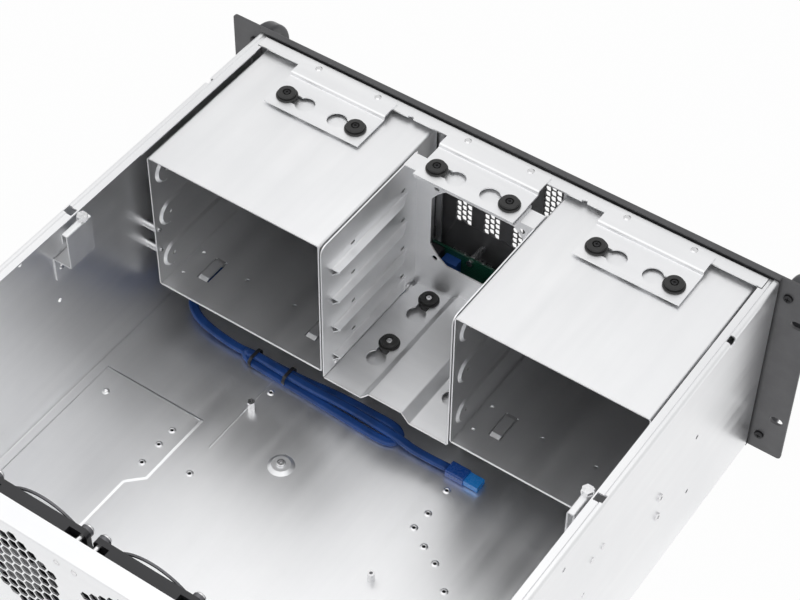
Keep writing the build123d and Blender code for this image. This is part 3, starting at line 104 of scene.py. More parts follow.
# Brackets, the middle cage's base and their grommets
PLATE_LIFT = 0.0020     # brackets' lower plates above the cages
PLATE_TOP = CAGE_Z[1] + SHEET + PLATE_LIFT
PLATE_SPLIT_Z = 0.1730  # between a bracket's lower plate and its upper flange
BASE_TOP = 0.0345       # top of the middle cage's base
BASE_LIFT = 0.0040      # base above its foot
FOOT_SPLIT_Z = 0.0250   # between the foot's legs' lower ends and its top
RIVET_HOLE_X = 0.04805
RIVET_HOLE_Y = (FACE + 0.0465, FACE + 0.0906, FACE + 0.1356)
RIVET_SPLIT_Z = 0.0450  # the middle cage's rivets lie below this height
RIVET_RISE = 0.0039     # rivets above the base's top once they lie level
PATCH = (0.0022, 0.00003, 0.00097)  # radius, and how far it lies below the base's faces
GROMMET_X = 0.0299
GROMMET_Y = FACE + 0.0465
BRACKET_X = (-0.1290, 0.0, 0.1290)
BASE_GROMMETS = ((0.0330, FACE + 0.0466), (0.0330, FACE + 0.0977))
SCREW_RISE = 0.0037     # top of a grommet's screw above its plate
SCREW_SHARE = 0.78      # how wide its head is beside the plain solid's

# Floor
PAD_X = (0.1185, 0.2050)
PAD_Y = (FACE + 0.2135, FACE + 0.2760, 0.22435)
PAD_STEP = 0.0115
PAD_H = 0.0008
PAD_SLOPE = 0.0018
CREASE_X = 0.0983
CREASE_Y = (FACE + 0.1520, FACE + 0.2290)
CREASE = (0.0007, 0.0003)           # half of its width, and its height
# The floor's small holes in millimetres: across the case, and behind the front panel's face
FLOOR_HOLES = ((-62.2, 163.0), (-62.6, 187.2), (-61.4, 202.8), (-76.2, 212.1), (-90.4, 219.5),
               (-108.3, 235.0), (92.8, 163.1), (95.3, 255.6), (129.4, 232.6), (129.2, 248.1),
               (128.8, 267.6), (191.8, 232.1))

# Front vents
VENT_PITCH = 0.0052
VENT_STRIPS = (0.0336, 0.0094, -0.0148, -0.0390)
VENT_Z = (0.0808, 0.1620)
VENT_MARGIN = 0.0040    # how far past these heights a cell's points may lie
VENT_REACH = 0.00262    # a cell's points lie nearer to its middle than this
VENT_GROWTH = 1.13      # how much wider a cell of the vents is than the plain solid's
VENT_THINNED = 0.0012   # how much thinner the panel is round the cells

# Pins of the front board
PIN_GRID = (6, 2)
PIN_LENGTH = 0.0060
PIN_ASIDE = 0.0220      # middle of the pins from the board's middle
PIN_OUT = 0.0029        # middle of the pins from the board's rear face
PIN_UNDER = 0.0040      # middle of the pins from the board's top

# Cable ties
TIE_X = (0.0890, 0.1200)
TIE_Z = 0.0058
TIE_WIDTH = 0.0024
TIE_REACH = 0.0072      # half of the bundle's width
TIE_TALL = 0.0080
TIE_THICK = 0.0009

# The front plug's mouth begins here and its colour fades in over this width
MOUTH_X = (-0.0694, -0.0688)

# Stage
STAGE_REACH = 6.0
SHADED_X = 0.19         # the floor's dark part under the case
SHADED_Y = (-0.18, 0.21)
FLOOR_DROP = 0.0002     # floor below the case's underside
FLOOR_SHARE = 0.97      # how much of white camera and glossy rays see on the floor
CAMERA_PLACE = (-0.54708, 0.73812, 1.22869)
CAMERA_TURN = (41.81334, -0.60549, -145.29147)      # degrees round X, Y and Z
SENSOR = 36.0           # millimetres
SOFTBOX = ((0.25, 0.1, 1.7), (0.0, 0.0, 0.05), 2.2)     # its place, what it looks at and its width
SIDE_LAMP = ((-1.5, 0.9, 0.9), (0.0, 0.0, 0.1), 1.8)

# The lead's way from the board to the hank, and from there to its plug, as in the part's source
BOARD_ROUTE = [
    (0.0290, FACE + 0.0242, 0.0495), (0.0310, FACE + 0.0250, 0.0048), (0.0780, FACE + 0.0300, 0.0048),
    (0.1400, FACE + 0.0470, 0.0048), (0.1840, FACE + 0.0710, 0.0048), (0.2000, FACE + 0.1120, 0.0088),
    (0.1860, FACE + 0.1400, 0.0078)]
HANK_Y = FACE + 0.146
PLUG_ROUTE = [(-0.0280, HANK_Y + 0.0035, 0.0048), (-0.0537, HANK_Y + 0.0020, 0.0048)]
STRAND_ARC = 210        # degrees of each strand's outline
STRAND_STEPS = 8
LEVEL_LIMIT = 0.35      # sine of the lead's angle from upright, above which its strands lie level


def colour_setting(name, description, value):
    """A colour among the settings."""
    return bpy.props.FloatVectorProperty(
        name=name, description=description, default=value, subtype="COLOR", size=3, min=0.0, max=1.0)


def number_setting(name, description, value, low, high, unit="NONE"):
    """A number among the settings."""
    return bpy.props.FloatProperty(
        name=name, description=description, default=value, min=low, max=high, unit=unit)


class CaseColours(bpy.types.PropertyGroup):
    """The colours of the case's finishes."""
    zinc: colour_setting("Zinc sheet", "Colour of the plated sheet", (0.940, 0.943, 0.952))
    zinc_dull: colour_setting("Dull zinc", "Colour of the sheet's duller patches", (0.885, 0.890, 0.902))
    panel: colour_setting("Front panel", "Colour of the front panel's coat", (0.088, 0.088, 0.092))
    handle: colour_setting("Handles", "Colour of the handles' coat", (0.035, 0.035, 0.040))
    rubber: colour_setting("Rubber", "Colour of the grommets", (0.018, 0.018, 0.018))
    plastic: colour_setting("Black plastic", "Colour of the fans and the header", (0.022, 0.022, 0.025))
    lead: colour_setting("Lead", "Colour of the lead's sleeve", (0.016, 0.075, 0.30))
    plug: colour_setting("Plug", "Colour of the plug's grip", (0.018, 0.095, 0.42))
    mouth: colour_setting("Plug mouth", "Colour of the plug's mouth", (0.03, 0.30, 0.86))
    board: colour_setting("Board", "Colour of the front board's mask", (0.004, 0.052, 0.030))


class CaseSizes(bpy.types.PropertyGroup):
    """Sizes of what the scene adds to the case."""
    strand: number_setting("Strand", "Diameter of one of the lead's strands", 0.0036, 0.001, 0.01, "LENGTH")
    pin: number_setting("Pin", "Width of a pin on the front board", 0.00064, 0.0002, 0.002, "LENGTH")
    pin_pitch: number_setting("Pin pitch", "Distance from pin to pin", 0.00254, 0.001, 0.01, "LENGTH")


class StageSettings(bpy.types.PropertyGroup):
    """Camera and light."""
    lens: number_setting("Lens", "Focal length of the camera", 97.43, 20, 300, "CAMERA")
    sky: number_setting("Sky", "Strength of the even light", 0.55, 0, 3)
    softbox: number_setting("Softbox", "Power of the lamp above", 7.5, 0, 200, "POWER")
    side_lamp: number_setting("Side lamp", "Power of the lamp at the side", 5.0, 0, 200, "POWER")
    floor: colour_setting("Floor", "Colour of the floor", (0.93, 0.93, 0.93))


# Small helpers for materials and meshes

def feed(socket, value):
    """Links a node's input to a socket, or sets it to a constant."""
    if isinstance(value, bpy.types.NodeSocket):
        socket.id_data.links.new(value, socket)
    else:
        socket.default_value = value


def shade(node, **values):
    """Feeds the inputs that have these names."""
    for name, value in values.items():
        feed(node.inputs[name.replace("_", " ")], value)


def new_node(tree, kind, **values):
    node = tree.nodes.new(kind)
    shade(node, **values)
    return node


def fresh_material(name):
    """A new material with a principled shader; returns the material, its tree and the shader."""
    material = bpy.data.materials.new(name)
    material.use_nodes = True
    tree = material.node_tree
    tree.nodes.clear()
    shader = new_node(tree, "ShaderNodeBsdfPrincipled")
    new_node(tree, "ShaderNodeOutputMaterial", Surface=shader.outputs["BSDF"])
    return material, tree, shader


def place_vector(tree, scale=(1, 1, 1), turn=(0, 0, 0), source="Object"):
    """Object coordinates, stretched and turned."""
    where = new_node(tree, "ShaderNodeTexCoord").outputs[source]
    return new_node(tree, "ShaderNodeMapping", Vector=where, Scale=scale, Rotation=turn).outputs["Vector"]


def noise(tree, scale, detail, rough=0.5, stretch=(1, 1, 1)):
    where = place_vector(tree, scale=stretch)
    node = new_node(tree, "ShaderNodeTexNoise", Vector=where, Scale=scale, Detail=detail, Roughness=rough)
    return node.outputs["Fac"]


def spread(tree, value, low, high, start=0.3, end=0.7):
    """Maps a pattern's range start to end onto low to high."""
    node = new_node(tree, "ShaderNodeMapRange", Value=value, From_Min=start, From_Max=end, To_Min=low,
                    To_Max=high)
    return node.outputs["Result"]


def two_colours(tree, value, first, second):
    """From the first colour to the second by a value; each is a plain colour or a socket."""
    node = tree.nodes.new("ShaderNodeMix")
    node.data_type = "RGBA"
    for name, colour in (("A", first), ("B", second)):
        feed(node.inputs[name], colour if isinstance(colour, bpy.types.NodeSocket) else (*colour, 1))
    shade(node, Factor=value)
    return node.outputs["Result"]


def tint(shader, pattern, first, second):
    """Colours the shader from the first colour to the second by a pattern."""
    tree = shader.id_data
    shade(shader, Base_Color=two_colours(tree, spread(tree, pattern, 0, 1), first, second))


def sheen(shader, pattern, low, high, start=0.3, end=0.7):
    """Lets a pattern set the shader's roughness."""
    shade(shader, Roughness=spread(shader.id_data, pattern, low, high, start, end))


def bump(shader, height, distance, strength, under=None):
    """Relief from a height pattern, on top of another relief where one is given."""
    node = new_node(shader.id_data, "ShaderNodeBump", Height=height, Distance=distance, Strength=strength)
    if under is not None:
        shade(node, Normal=under)
    shade(shader, Normal=node.outputs["Normal"])
    return node.outputs["Normal"]


def arithmetic(tree, operation, first, second):
    """The result of a sum on two sockets, or on a socket and a plain number."""
    node = tree.nodes.new("ShaderNodeMath")
    node.operation = operation
    for socket, value in zip(node.inputs, (first, second)):
        feed(socket, value)
    return node.outputs[0]


def dress(names, material):
    """Gives a material to CAD nodes."""
    for name in names:
        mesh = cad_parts[name].data
        mesh.materials.clear()
        mesh.materials.append(material)


def nodes_named(*starts):
    return [name for name in sorted(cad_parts) if name.startswith(starts)]


def linked(name, data):
    """A new object in the scene."""
    thing = bpy.data.objects.new(name, data)
    bpy.context.scene.collection.objects.link(thing)
    return thing


def new_mesh(name, points, faces, material, smooth=True):
    mesh = bpy.data.meshes.new(name)
    mesh.from_pydata(points, [], faces)
    mesh.materials.append(material)
    mesh.polygons.foreach_set("use_smooth", [smooth] * len(mesh.polygons))
    mesh.update()
    return linked(name, mesh)


def evaluated_mesh(piece):
    """A plain mesh made from what an object's modifiers or its curve give; the object goes."""
    graph = bpy.context.evaluated_depsgraph_get()
    mesh = bpy.data.meshes.new_from_object(piece.evaluated_get(graph))
    bpy.data.objects.remove(piece)
    return mesh


def baked(piece, name):
    """A plain mesh object made from what an object's modifiers give."""
    mesh = evaluated_mesh(piece)
    mesh.name = name
    return linked(name, mesh)


# Finishes

def zinc_finish(name, grain, polish):
    """Zinc-plated sheet: rolled streaks along one axis, cloudy patches and a faint waviness."""
    colours = bpy.context.scene.case_colours
    material, tree, shader = fresh_material(name)
    streaks = noise(tree, 1.0, 3.0, 0.6, stretch=grain)
    clouds = noise(tree, 14.0, 3.0, 0.55)
    fine = noise(tree, 1400.0, 2.0)
    patches = spread(tree, arithmetic(tree, "MULTIPLY", streaks, clouds), 0.0, 1.0, 0.12, 0.42)
    shade(shader, Base_Color=two_colours(tree, patches, colours.zinc_dull, colours.zinc), Metallic=0.97)
    sheen(shader, streaks, 0.42 - polish, 0.50 - polish)
    wavy = noise(tree, 9.0, 1.0, 0.4)
    first = bump(shader, wavy, 0.0004, 0.12)
    bump(shader, fine, 0.00001, 0.3, first)
    return material


def coat_finish(name, colour, roughness):
    """Powder coat: even colour with a fine pebbled surface."""
    material, tree, shader = fresh_material(name)
    pebbles = noise(tree, 1100.0, 2.0, 0.55)
    dust = noise(tree, 40.0, 4.0, 0.6)
    lighter = [min(1.0, c * 1.35 + 0.004) for c in colour]
    tint(shader, dust, colour, lighter)
    sheen(shader, pebbles, roughness - 0.06, roughness + 0.08)
    bump(shader, pebbles, 0.00005, 0.55)
    return material


def plated_finish(name, colour, roughness):
    """Bright plated metal with fine handling marks."""
    material, tree, shader = fresh_material(name)
    marks = noise(tree, 420.0, 3.0, 0.6)
    darker = [c * 0.82 for c in colour]
    tint(shader, marks, darker, colour)
    sheen(shader, marks, roughness, roughness + 0.14)
    bump(shader, marks, 0.00002, 0.3)
    shade(shader, Metallic=1.0)
    return material


def rubber_finish(name, colour):
    material, tree, shader = fresh_material(name)
    bloom = noise(tree, 260.0, 3.0, 0.6)
    grain = noise(tree, 2200.0, 1.0)
    paler = [c * 1.8 + 0.004 for c in colour]
    tint(shader, bloom, colour, paler)
    sheen(shader, bloom, 0.42, 0.6)
    bump(shader, grain, 0.00003, 0.5)
    return material


def plastic_finish(name, colour, roughness):
    """Moulded plastic with a fine spark-eroded grain."""
    material, tree, shader = fresh_material(name)
    grain = noise(tree, 1700.0, 2.0)
    flow = noise(tree, 1.0, 2.0, stretch=(30, 30, 90))
    paler = [c * 1.3 + 0.002 for c in colour]
    tint(shader, flow, colour, paler)
    sheen(shader, grain, roughness - 0.05, roughness + 0.07)
    bump(shader, grain, 0.00002, 0.4)
    return material


def plug_finish(name):
    """Blue plug: its mouth is a brighter blue than its grip."""
    colours = bpy.context.scene.case_colours
    material, tree, shader = fresh_material(name)
    where = new_node(tree, "ShaderNodeTexCoord").outputs["Object"]
    split = new_node(tree, "ShaderNodeSeparateXYZ", Vector=where)
    mouth = spread(tree, split.outputs["X"], 1.0, 0.0, *MOUTH_X)
    shade(shader, Base_Color=two_colours(tree, mouth, colours.plug, colours.mouth))
    grain = noise(tree, 900.0, 2.0)
    sheen(shader, grain, 0.22, 0.34)
    bump(shader, grain, 0.00002, 0.3)
    shade(shader, Coat_Weight=0.3, Coat_Roughness=0.15)
    return material


def sleeve_finish(name):
    """The lead's sleeve: satin blue with fine lines along and round it."""
    colours = bpy.context.scene.case_colours
    material, tree, shader = fresh_material(name)
    along = place_vector(tree, scale=(520, 26, 1), source="UV")
    lines = new_node(tree, "ShaderNodeTexWave", Vector=along, Scale=1.0, Distortion=0.6)
    lines.bands_direction = "DIAGONAL"
    shadows = noise(tree, 60.0, 2.0)
    dark = [c * 0.72 for c in colours.lead]
    light = [min(1.0, c * 1.3) for c in colours.lead]
    tint(shader, shadows, dark, light)
    sheen(shader, lines.outputs["Fac"], 0.30, 0.40, 0, 1)
    bump(shader, lines.outputs["Fac"], 0.00005, 0.4)
    shade(shader, Sheen_Weight=0.1, Sheen_Roughness=0.4)
    return material


def board_finish(name):
    """Green board: solder mask with copper tracks under it and round solder joints."""
    colours = bpy.context.scene.case_colours
    material, tree, shader = fresh_material(name)
    where = place_vector(tree, turn=(math.radians(90), 0, 0))
    tracks = new_node(tree, "ShaderNodeTexBrick", Vector=where, Scale=130.0, Mortar_Size=0.06,
                      Color1=(0, 0, 0, 1), Color2=(0.15, 0.15, 0.15, 1), Mortar=(1, 1, 1, 1))
    dots = new_node(tree, "ShaderNodeTexVoronoi", Vector=where, Scale=260.0, Randomness=0.55)
    solder = spread(tree, dots.outputs["Distance"], 1.0, 0.0, 0.16, 0.2)
    lighter = [min(1.0, c * 1.7 + 0.01) for c in colours.board]
    mask = two_colours(tree, spread(tree, tracks.outputs["Color"], 0, 1, 0, 1), colours.board, lighter)
    shade(shader, Base_Color=two_colours(tree, solder, mask, (0.62, 0.63, 0.64)), Metallic=solder)
    sheen(shader, solder, 0.28, 0.2, 0, 1)
    bump(shader, tracks.outputs["Color"], 0.00004, 0.4)
    return material


def lens_finish(name):
    material, tree, shader = fresh_material(name)
    ripple = noise(tree, 300.0, 2.0)
    tint(shader, ripple, (0.75, 0.82, 0.76), (0.86, 0.9, 0.86))
    sheen(shader, ripple, 0.05, 0.14)
    shade(shader, Transmission_Weight=0.7, IOR=1.49)
    return material


# Geometry nodes for what repeats

def repeat_tree(name, material, inputs):
    """An empty node tree with named inputs; returns the tree, its inputs and a function that ends it."""
    tree = bpy.data.node_groups.new(name, "GeometryNodeTree")
    tree.interface.new_socket("Geometry", in_out="INPUT", socket_type="NodeSocketGeometry")
    tree.interface.new_socket("Geometry", in_out="OUTPUT", socket_type="NodeSocketGeometry")
    for label, kind, value in inputs:
        socket = tree.interface.new_socket(label, in_out="INPUT", socket_type=kind)
        socket.default_value = value
    start = tree.nodes.new("NodeGroupInput")

    def end(geometry):
        real = new_node(tree, "GeometryNodeRealizeInstances", Geometry=geometry).outputs["Geometry"]
        paint = new_node(tree, "GeometryNodeSetMaterial", Geometry=real, Material=material)
        new_node(tree, "NodeGroupOutput", Geometry=paint.outputs["Geometry"])

    return tree, start, end


def run_tree(tree, name):
    """Runs a node tree on an empty mesh and returns the plain mesh it gives."""
    carrier = linked(name + "_carrier", bpy.data.meshes.new(name + "_carrier"))
    carrier.modifiers.new("repeat", "NODES").node_group = tree
    return baked(carrier, name)


def pin_field(name, material, middle, columns, rows, length):
    """Square pins that stand out of the board along Y, in a grid round its middle."""
    sizes = bpy.context.scene.case_sizes
    inputs = [("Columns", "NodeSocketInt", columns), ("Rows", "NodeSocketInt", rows),
              ("Pitch", "NodeSocketFloat", sizes.pin_pitch), ("Pin width", "NodeSocketFloat", sizes.pin),
              ("Pin length", "NodeSocketFloat", length)]
    tree, start, end = repeat_tree(name, material, inputs)
    grid = tree.nodes.new("GeometryNodeMeshGrid")
    for count, axis in (("Columns", "X"), ("Rows", "Y")):
        gaps = arithmetic(tree, "SUBTRACT", start.outputs[count], 1)
        reach = arithmetic(tree, "MULTIPLY", gaps, start.outputs["Pitch"])
        feed(grid.inputs["Size " + axis], reach)
        feed(grid.inputs["Vertices " + axis], start.outputs[count])
    stand = new_node(tree, "GeometryNodeTransform", Geometry=grid.outputs["Mesh"],
                     Rotation=(math.radians(90), 0, 0), Translation=middle)
    width = start.outputs["Pin width"]
    size = new_node(tree, "ShaderNodeCombineXYZ", X=width, Y=start.outputs["Pin length"], Z=width)
    pin = new_node(tree, "GeometryNodeMeshCube", Size=size.outputs["Vector"])
    spots = new_node(tree, "GeometryNodeInstanceOnPoints", Points=stand.outputs["Geometry"],
                     Instance=pin.outputs["Mesh"])
    end(spots.outputs["Instances"])
    return run_tree(tree, name)


# Folded and turned shapes

def rounded_line(points, radius, steps=6):
    """A line in a plane with its right-angled corners rounded."""
    line = [Vector(points[0])]
    for before, corner, after in zip(points, points[1:], points[2:]):
        corner = Vector(corner)
        back = (Vector(before) - corner).normalized()
        on = (Vector(after) - corner).normalized()
        centre = corner + (back + on) * radius
        for i in range(steps + 1):
            angle = math.radians(90) * i / steps
            line.append(centre - on * radius * math.cos(angle) - back * radius * math.sin(angle))
    line.append(Vector(points[-1]))
    return line


def joined_rings(rings, closed=False):
    """Points and faces of a skin through rings of equal length, with a flat face at each end."""
    count = len(rings[0])
    points = [point for ring in rings for point in ring]
    faces = []
    for level in range(len(rings) - 1):
        first = level * count
        for i in range(count):
            j = (i + 1) % count
            faces.append((first + i, first + j, first + count + j, first + count + i))
    if not closed:
        faces.append(tuple(range(count)))
        faces.append(tuple(range(len(points) - count, len(points))))
    return points, faces


def several(parts):
    """One list of points and faces from several."""
    points = []
    faces = []
    for more_points, more_faces in parts:
        start = len(points)
        points += more_points
        faces += [tuple(start + i for i in face) for face in more_faces]
    return points, faces


def solid(name, parts, material):
    """A mesh object from lists of points and faces, with its faces turned outward."""
    return mended(new_mesh(name, *several(parts), material))


def crisp(piece, angle=32):
    """Smooth shading with hard edges where faces meet at more than an angle."""
    piece.data.polygons.foreach_set("use_smooth", [True] * len(piece.data.polygons))
    piece.data.set_sharp_from_angle(angle=math.radians(angle))
    return piece


def combined(piece, name, steps):
    """The piece after boolean steps, each an operation and its tool object."""
    for operation, tool in steps:
        modifier = piece.modifiers.new(operation.lower(), "BOOLEAN")
        modifier.operation = operation
        modifier.solver = "EXACT"
        modifier.object = tool
    result = baked(piece, name)
    for _, tool in steps:
        bpy.data.objects.remove(tool)
    return crisp(result)


def oval(x, y0, y1, z, radius, steps=12):
    """Points of an upright oval, round at both ends, in the plane at x."""
    points = []
    for centre, start in ((y1 - radius, -90), (y0 + radius, 90)):
        for i in range(steps + 1):
            angle = math.radians(start + 180 * i / steps)
            points.append((x, centre + radius * math.cos(angle), z + radius * math.sin(angle)))
    return points


def hoop(x, y, z, width, reach, tall, thick):
    """A strap of even width round a bundle that lies along X."""
    rings = []
    for end, out in ((x - width / 2, thick), (x + width / 2, thick), (x + width / 2, 0), (x - width / 2, 0)):
        rings.append(oval(end, y - reach - out, y + reach + out, z, tall / 2 + out))
    rings.append(rings[0])
    return joined_rings(rings, closed=True)


def dish(x, inward, z):
    """A flat-topped oval with sloping edges, from just under the face at x into the cage."""
    foot = oval(x - inward * CAGE_SHEET / 2, *EMBOSS_Y, z, EMBOSS_H / 2)
    edge = oval(x, *EMBOSS_Y, z, EMBOSS_H / 2)
    near = EMBOSS_Y[0] + EMBOSS_SLOPE
    far = EMBOSS_Y[1] - EMBOSS_SLOPE
    top = oval(x + inward * EMBOSS_DEPTH, near, far, z, EMBOSS_H / 2 - EMBOSS_SLOPE)
    return joined_rings([foot, edge, top])


def peg(x0, x1, y, z, radius):
    return joined_rings([oval(x, y - radius, y + radius, z, radius, 8) for x in (x0, x1)])


def turned(profile, spots, steps=36):
    """A turned ring at each spot, from a closed line of radius and height."""
    parts = []
    for x, y, z in spots:
        rings = []
        for i in range(steps):
            angle = math.radians(360 * i / steps)
            rings.append([(x + r * math.cos(angle), y + r * math.sin(angle), z + h) for r, h in profile])
        rings.append(rings[0])
        parts.append(joined_rings(rings, closed=True))
    return parts


def mended(piece, join=False):
    """Turns the faces outward; with join, points that lie on each other become one."""
    work = bmesh.new()
    work.from_mesh(piece.data)
    if join:
        bmesh.ops.remove_doubles(work, verts=work.verts, dist=MM * MM)
    bmesh.ops.recalc_face_normals(work, faces=work.faces)
    work.to_mesh(piece.data)
    work.free()
    return piece


def rings_piece(name, parts, material):
    """A mesh object of closed rings, with its seams joined."""
    return crisp(mended(solid(name, parts, material), join=True))


def reshaped(node, name, move):
    """A piece with the form of a CAD node, in which each point goes where move puts it."""
    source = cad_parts[node]
    mesh = source.data.copy()
    mesh.name = name
    for vertex in mesh.vertices:
        vertex.co = move(source.matrix_world @ vertex.co)
    mesh.update()
    return linked(name, mesh)


def on_case(piece, slot, *replaced):
    """Lets a piece ride on the case and stand for the CAD nodes named."""
    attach(piece, "case")
    if replaced:
        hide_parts(*replaced)


def drive_cage(side, material):
    """A drive cage folded from one sheet, open below and behind, with embossings that stand into it."""
    x0, x1 = CAGE_X
    z0, z1 = CAGE_Z

    def line(t):
        """The fold's line, t inside the sheet's outer face."""
        return [(x0 + CAGE_FLANGE, z0 + t), (x0 + t, z0 + t), (x0 + t, z1 - t), (x1 - t, z1 - t),
                (x1 - t, z0 + t), (x1 - CAGE_FLANGE, z0 + t)]

    outline = rounded_line(line(0), BEND + CAGE_SHEET) + rounded_line(line(CAGE_SHEET), BEND)[::-1]
    shell = joined_rings([[(x * side, y, z) for x, z in outline] for y in CAGE_Y])
    bosses = []
    dents = []
    pegs = []
    for i in range(BAYS):
        z = z0 + EMBOSS_LOW + i * EMBOSS_PITCH
        for face, inward in ((x0, side), (x1, -side)):
            face *= side
            bosses.append(dish(face + inward * CAGE_SHEET, inward, z))
            dents.append(dish(face, inward, z))
            for rise in EMBOSS_HOLES:
                start = face - inward * 3 * MM
                end = face + inward * 6 * MM
                pegs.append(peg(start, end, EMBOSS_HOLE_Y, z + rise, EMBOSS_HOLE_R))
    steps = [("UNION", solid("bosses", bosses, material)), ("DIFFERENCE", solid("dents", dents, material)),
             ("DIFFERENCE", solid("pegs", pegs, material))]
    return combined(solid("cage", [shell], material), "cage_shell_" + WORDS[side], steps)


def cage_wall(side, material):
    """A wall of the middle cage: a plate with oval holes, a tab at its top and lanced ledges."""
    y0, y1 = WALL_Y
    z0, z1 = WALL_Z
    line = [(y0, z0)] + rounded_line([(y1, z0), (y1, z1), (y0, z1)], WALL_CORNER)
    sheet = joined_rings([[(side * x, y, z) for y, z in line] for x in (WALL_X, WALL_X + CAGE_SHEET)])
    near = side * (WALL_X - TAB_REACH)
    far = side * (WALL_X + CAGE_SHEET - HAIR)
    section = ((near, TAB_Z), (far, TAB_Z), (far, TAB_Z + CAGE_SHEET), (near, TAB_Z + CAGE_SHEET))
    tab = joined_rings([[(x, y, z) for x, z in section] for y in TAB_Y])
    levels = [LEDGE_Z + i * LEDGE_PITCH for i in range(LEDGES)]
    long, tall = WALL_HOLE
    holes = []
    for level in levels:
        for y in WALL_HOLE_Y:
            rings = [oval(side * x, y - long, y + long, level + WALL_HOLE_RISE, tall, 8)
                     for x in (WALL_X - MM, WALL_X + 3 * MM)]
            holes.append(joined_rings(rings))
    steps = [("DIFFERENCE", solid("holes", holes, material))]
    plate = combined(solid("wall", [sheet], material), "wall_plate", steps)
    points = [tuple(vertex.co) for vertex in plate.data.vertices]
    faces = [tuple(face.vertices) for face in plate.data.polygons]
    bpy.data.objects.remove(plate)
    parts = [(points, faces), tab] + [ledge(side, level) for level in levels]
    return crisp(solid("cage_wall_" + WORDS[side], parts, material), 24)


def ledge(side, z):
    """A ledge pushed out of a wall: level on top, sloping below, tapered in front and open at its rear."""
    back = WALL_X + 2 * HAIR
    front, rear = LEDGE_Y
    rings = []
    for y, share in ((front, LEDGE_TIP), (front + LEDGE_TAPER, 1.0), (rear, 1.0)):
        out = WALL_X - LEDGE_OUT * share
        edge = LEDGE_EDGE * share
        rings.append([(back, y, z + edge), (WALL_X - edge, y, z), (out, y, z), (out, y, z - edge),
                      (back, y, z - LEDGE_DROP)])
    count = len(rings[0])
    points = [point for ring in rings for point in ring]
    faces = [tuple(range(count))]
    for level in range(2):
        for i in range(count - 1):
            first = level * count + i
            faces.append((first, first + 1, first + count + 1, first + count))
    beside, under = LEDGE_SKIN
    tip = WALL_X - LEDGE_OUT + beside
    for y in (rear, rear - LEDGE_OPEN):
        points += [(back, y, z - CAGE_SHEET), (tip, y, z - CAGE_SHEET), (back, y, z - LEDGE_DROP + under)]
    a = 2 * count
    b = 3 * count
    faces += [(a, a + 1, a + 2, b + 1, b), (a + 2, a + 3, a + 4, b + 2, b + 1), (b, b + 1, b + 4, b + 3),
              (b + 1, b + 2, b + 5, b + 4), (b + 3, b + 4, b + 5)]
    return [(side * x, y, z) for x, y, z in points], faces


# The lead

def hank_points():
    """Three passes of the lead between its ties, the last one lying on the other two."""
    low = 0.0031
    top = 0.0078
    near = 0.0038
    far = 0.0082
    first = [(0.140, 0.0, 0.0055), (0.122, -near, low + 0.0006), (0.100, -near, low),
             (0.078, -near - 0.0010, low), (0.046, -far, low), (0.016, -far, low), (0.0010, -far, low)]
    turn = [(-0.0070, -far * 0.6, low), (-0.0088, 0.0, low), (-0.0070, far * 0.7, low)]
    second = [(0.0010, far - 0.0006, low), (0.018, far - 0.0010, low), (0.046, far - 0.0024, low),
              (0.078, near + 0.0008, low), (0.104, near, low), (0.1205, near, low + 0.0010)]
    over = [(0.1270, near * 0.55, low + 0.0030), (0.1268, -0.0004, top)]
    third = [(0.1180, -0.0006, top + 0.0004), (0.098, 0.0, top), (0.068, 0.0010, top - 0.0006),
             (0.038, -0.0010, low + 0.0030), (0.012, -0.0006, low + 0.0014), (-0.010, 0.0016, low + 0.0034)]
    return [(x, HANK_Y + dy, z) for x, dy, z in first + turn + second + over + third]


def route_points(route, name):
    """The smooth line of a route: a NURBS spline with the route's points, read without a bevel."""
    curve = bpy.data.curves.new(name, "CURVE")
    curve.dimensions = "3D"
    curve.resolution_u = 12
    spline = curve.splines.new("NURBS")
    spline.points.add(len(route) - 1)
    for point, place in zip(spline.points, route):
        point.co = (*place, 1.0)
    spline.order_u = 3
    spline.use_endpoint_u = True
    mesh = evaluated_mesh(linked(name, curve))
    points = [vertex.co.copy() for vertex in mesh.vertices]
    bpy.data.meshes.remove(mesh)
    return points


def twin_tube(name, points, material, radius):
    """A tube whose section is two round strands side by side, level with the floor where it lies."""
    ring = []
    for side in (1, -1):
        for i in range(STRAND_STEPS + 1):
            angle = math.radians(STRAND_ARC * (i / STRAND_STEPS - 0.5))
            ring.append((side * (radius + radius * math.cos(angle)), side * radius * math.sin(angle)))
    count = len(ring)
    rings = []
    across = Vector((0, 1, 0))
    lengths = [0.0]
    for i, point in enumerate(points):
        before = points[max(i - 1, 0)]
        after = points[min(i + 1, len(points) - 1)]
        along = (after - before).normalized()
        if i:
            lengths.append(lengths[-1] + (point - points[i - 1]).length)
        level = Vector((0, 0, 1)).cross(along)
        if level.length > LEVEL_LIMIT:
            level.normalize()
            if level.dot(across) < 0:
                level = -level
            across = across.lerp(level, 0.5)
        across = (across - along * across.dot(along)).normalized()
        up = along.cross(across)
        rings.append([point + across * a + up * b for a, b in ring])
    tube = new_mesh(name, *joined_rings(rings), material)
    layer = tube.data.uv_layers.new(name="UVMap")
    for polygon in tube.data.polygons:
        for corner in polygon.loop_indices:
            index = tube.data.loops[corner].vertex_index
            layer.data[corner].uv = (lengths[index // count], (index % count) / count)
    return mended(tube), lengths[-1]


class CASE_OT_sheet_metal(bpy.types.Operator):
    """Gives the folded sheets their zinc plating"""
    bl_idname = "case.sheet_metal"
    bl_label = "Sheet metal"

    def execute(self, context):
        dress(["chassis_tub"], zinc_finish("zinc_along_case", (90, 5, 90), polish=0.10))
        cross_sheets = nodes_named("rear_panel", "front_frame", "middle_cage", "slot_covers", "bar_bracket",
                                   "top_bracket")
        dress(cross_sheets, zinc_finish("zinc_across_case", (5, 90, 90), polish=0.02))
        dress(nodes_named("drive_cage"), zinc_finish("zinc_cages", (70, 6, 70), polish=0.04))
        return {"FINISHED"}


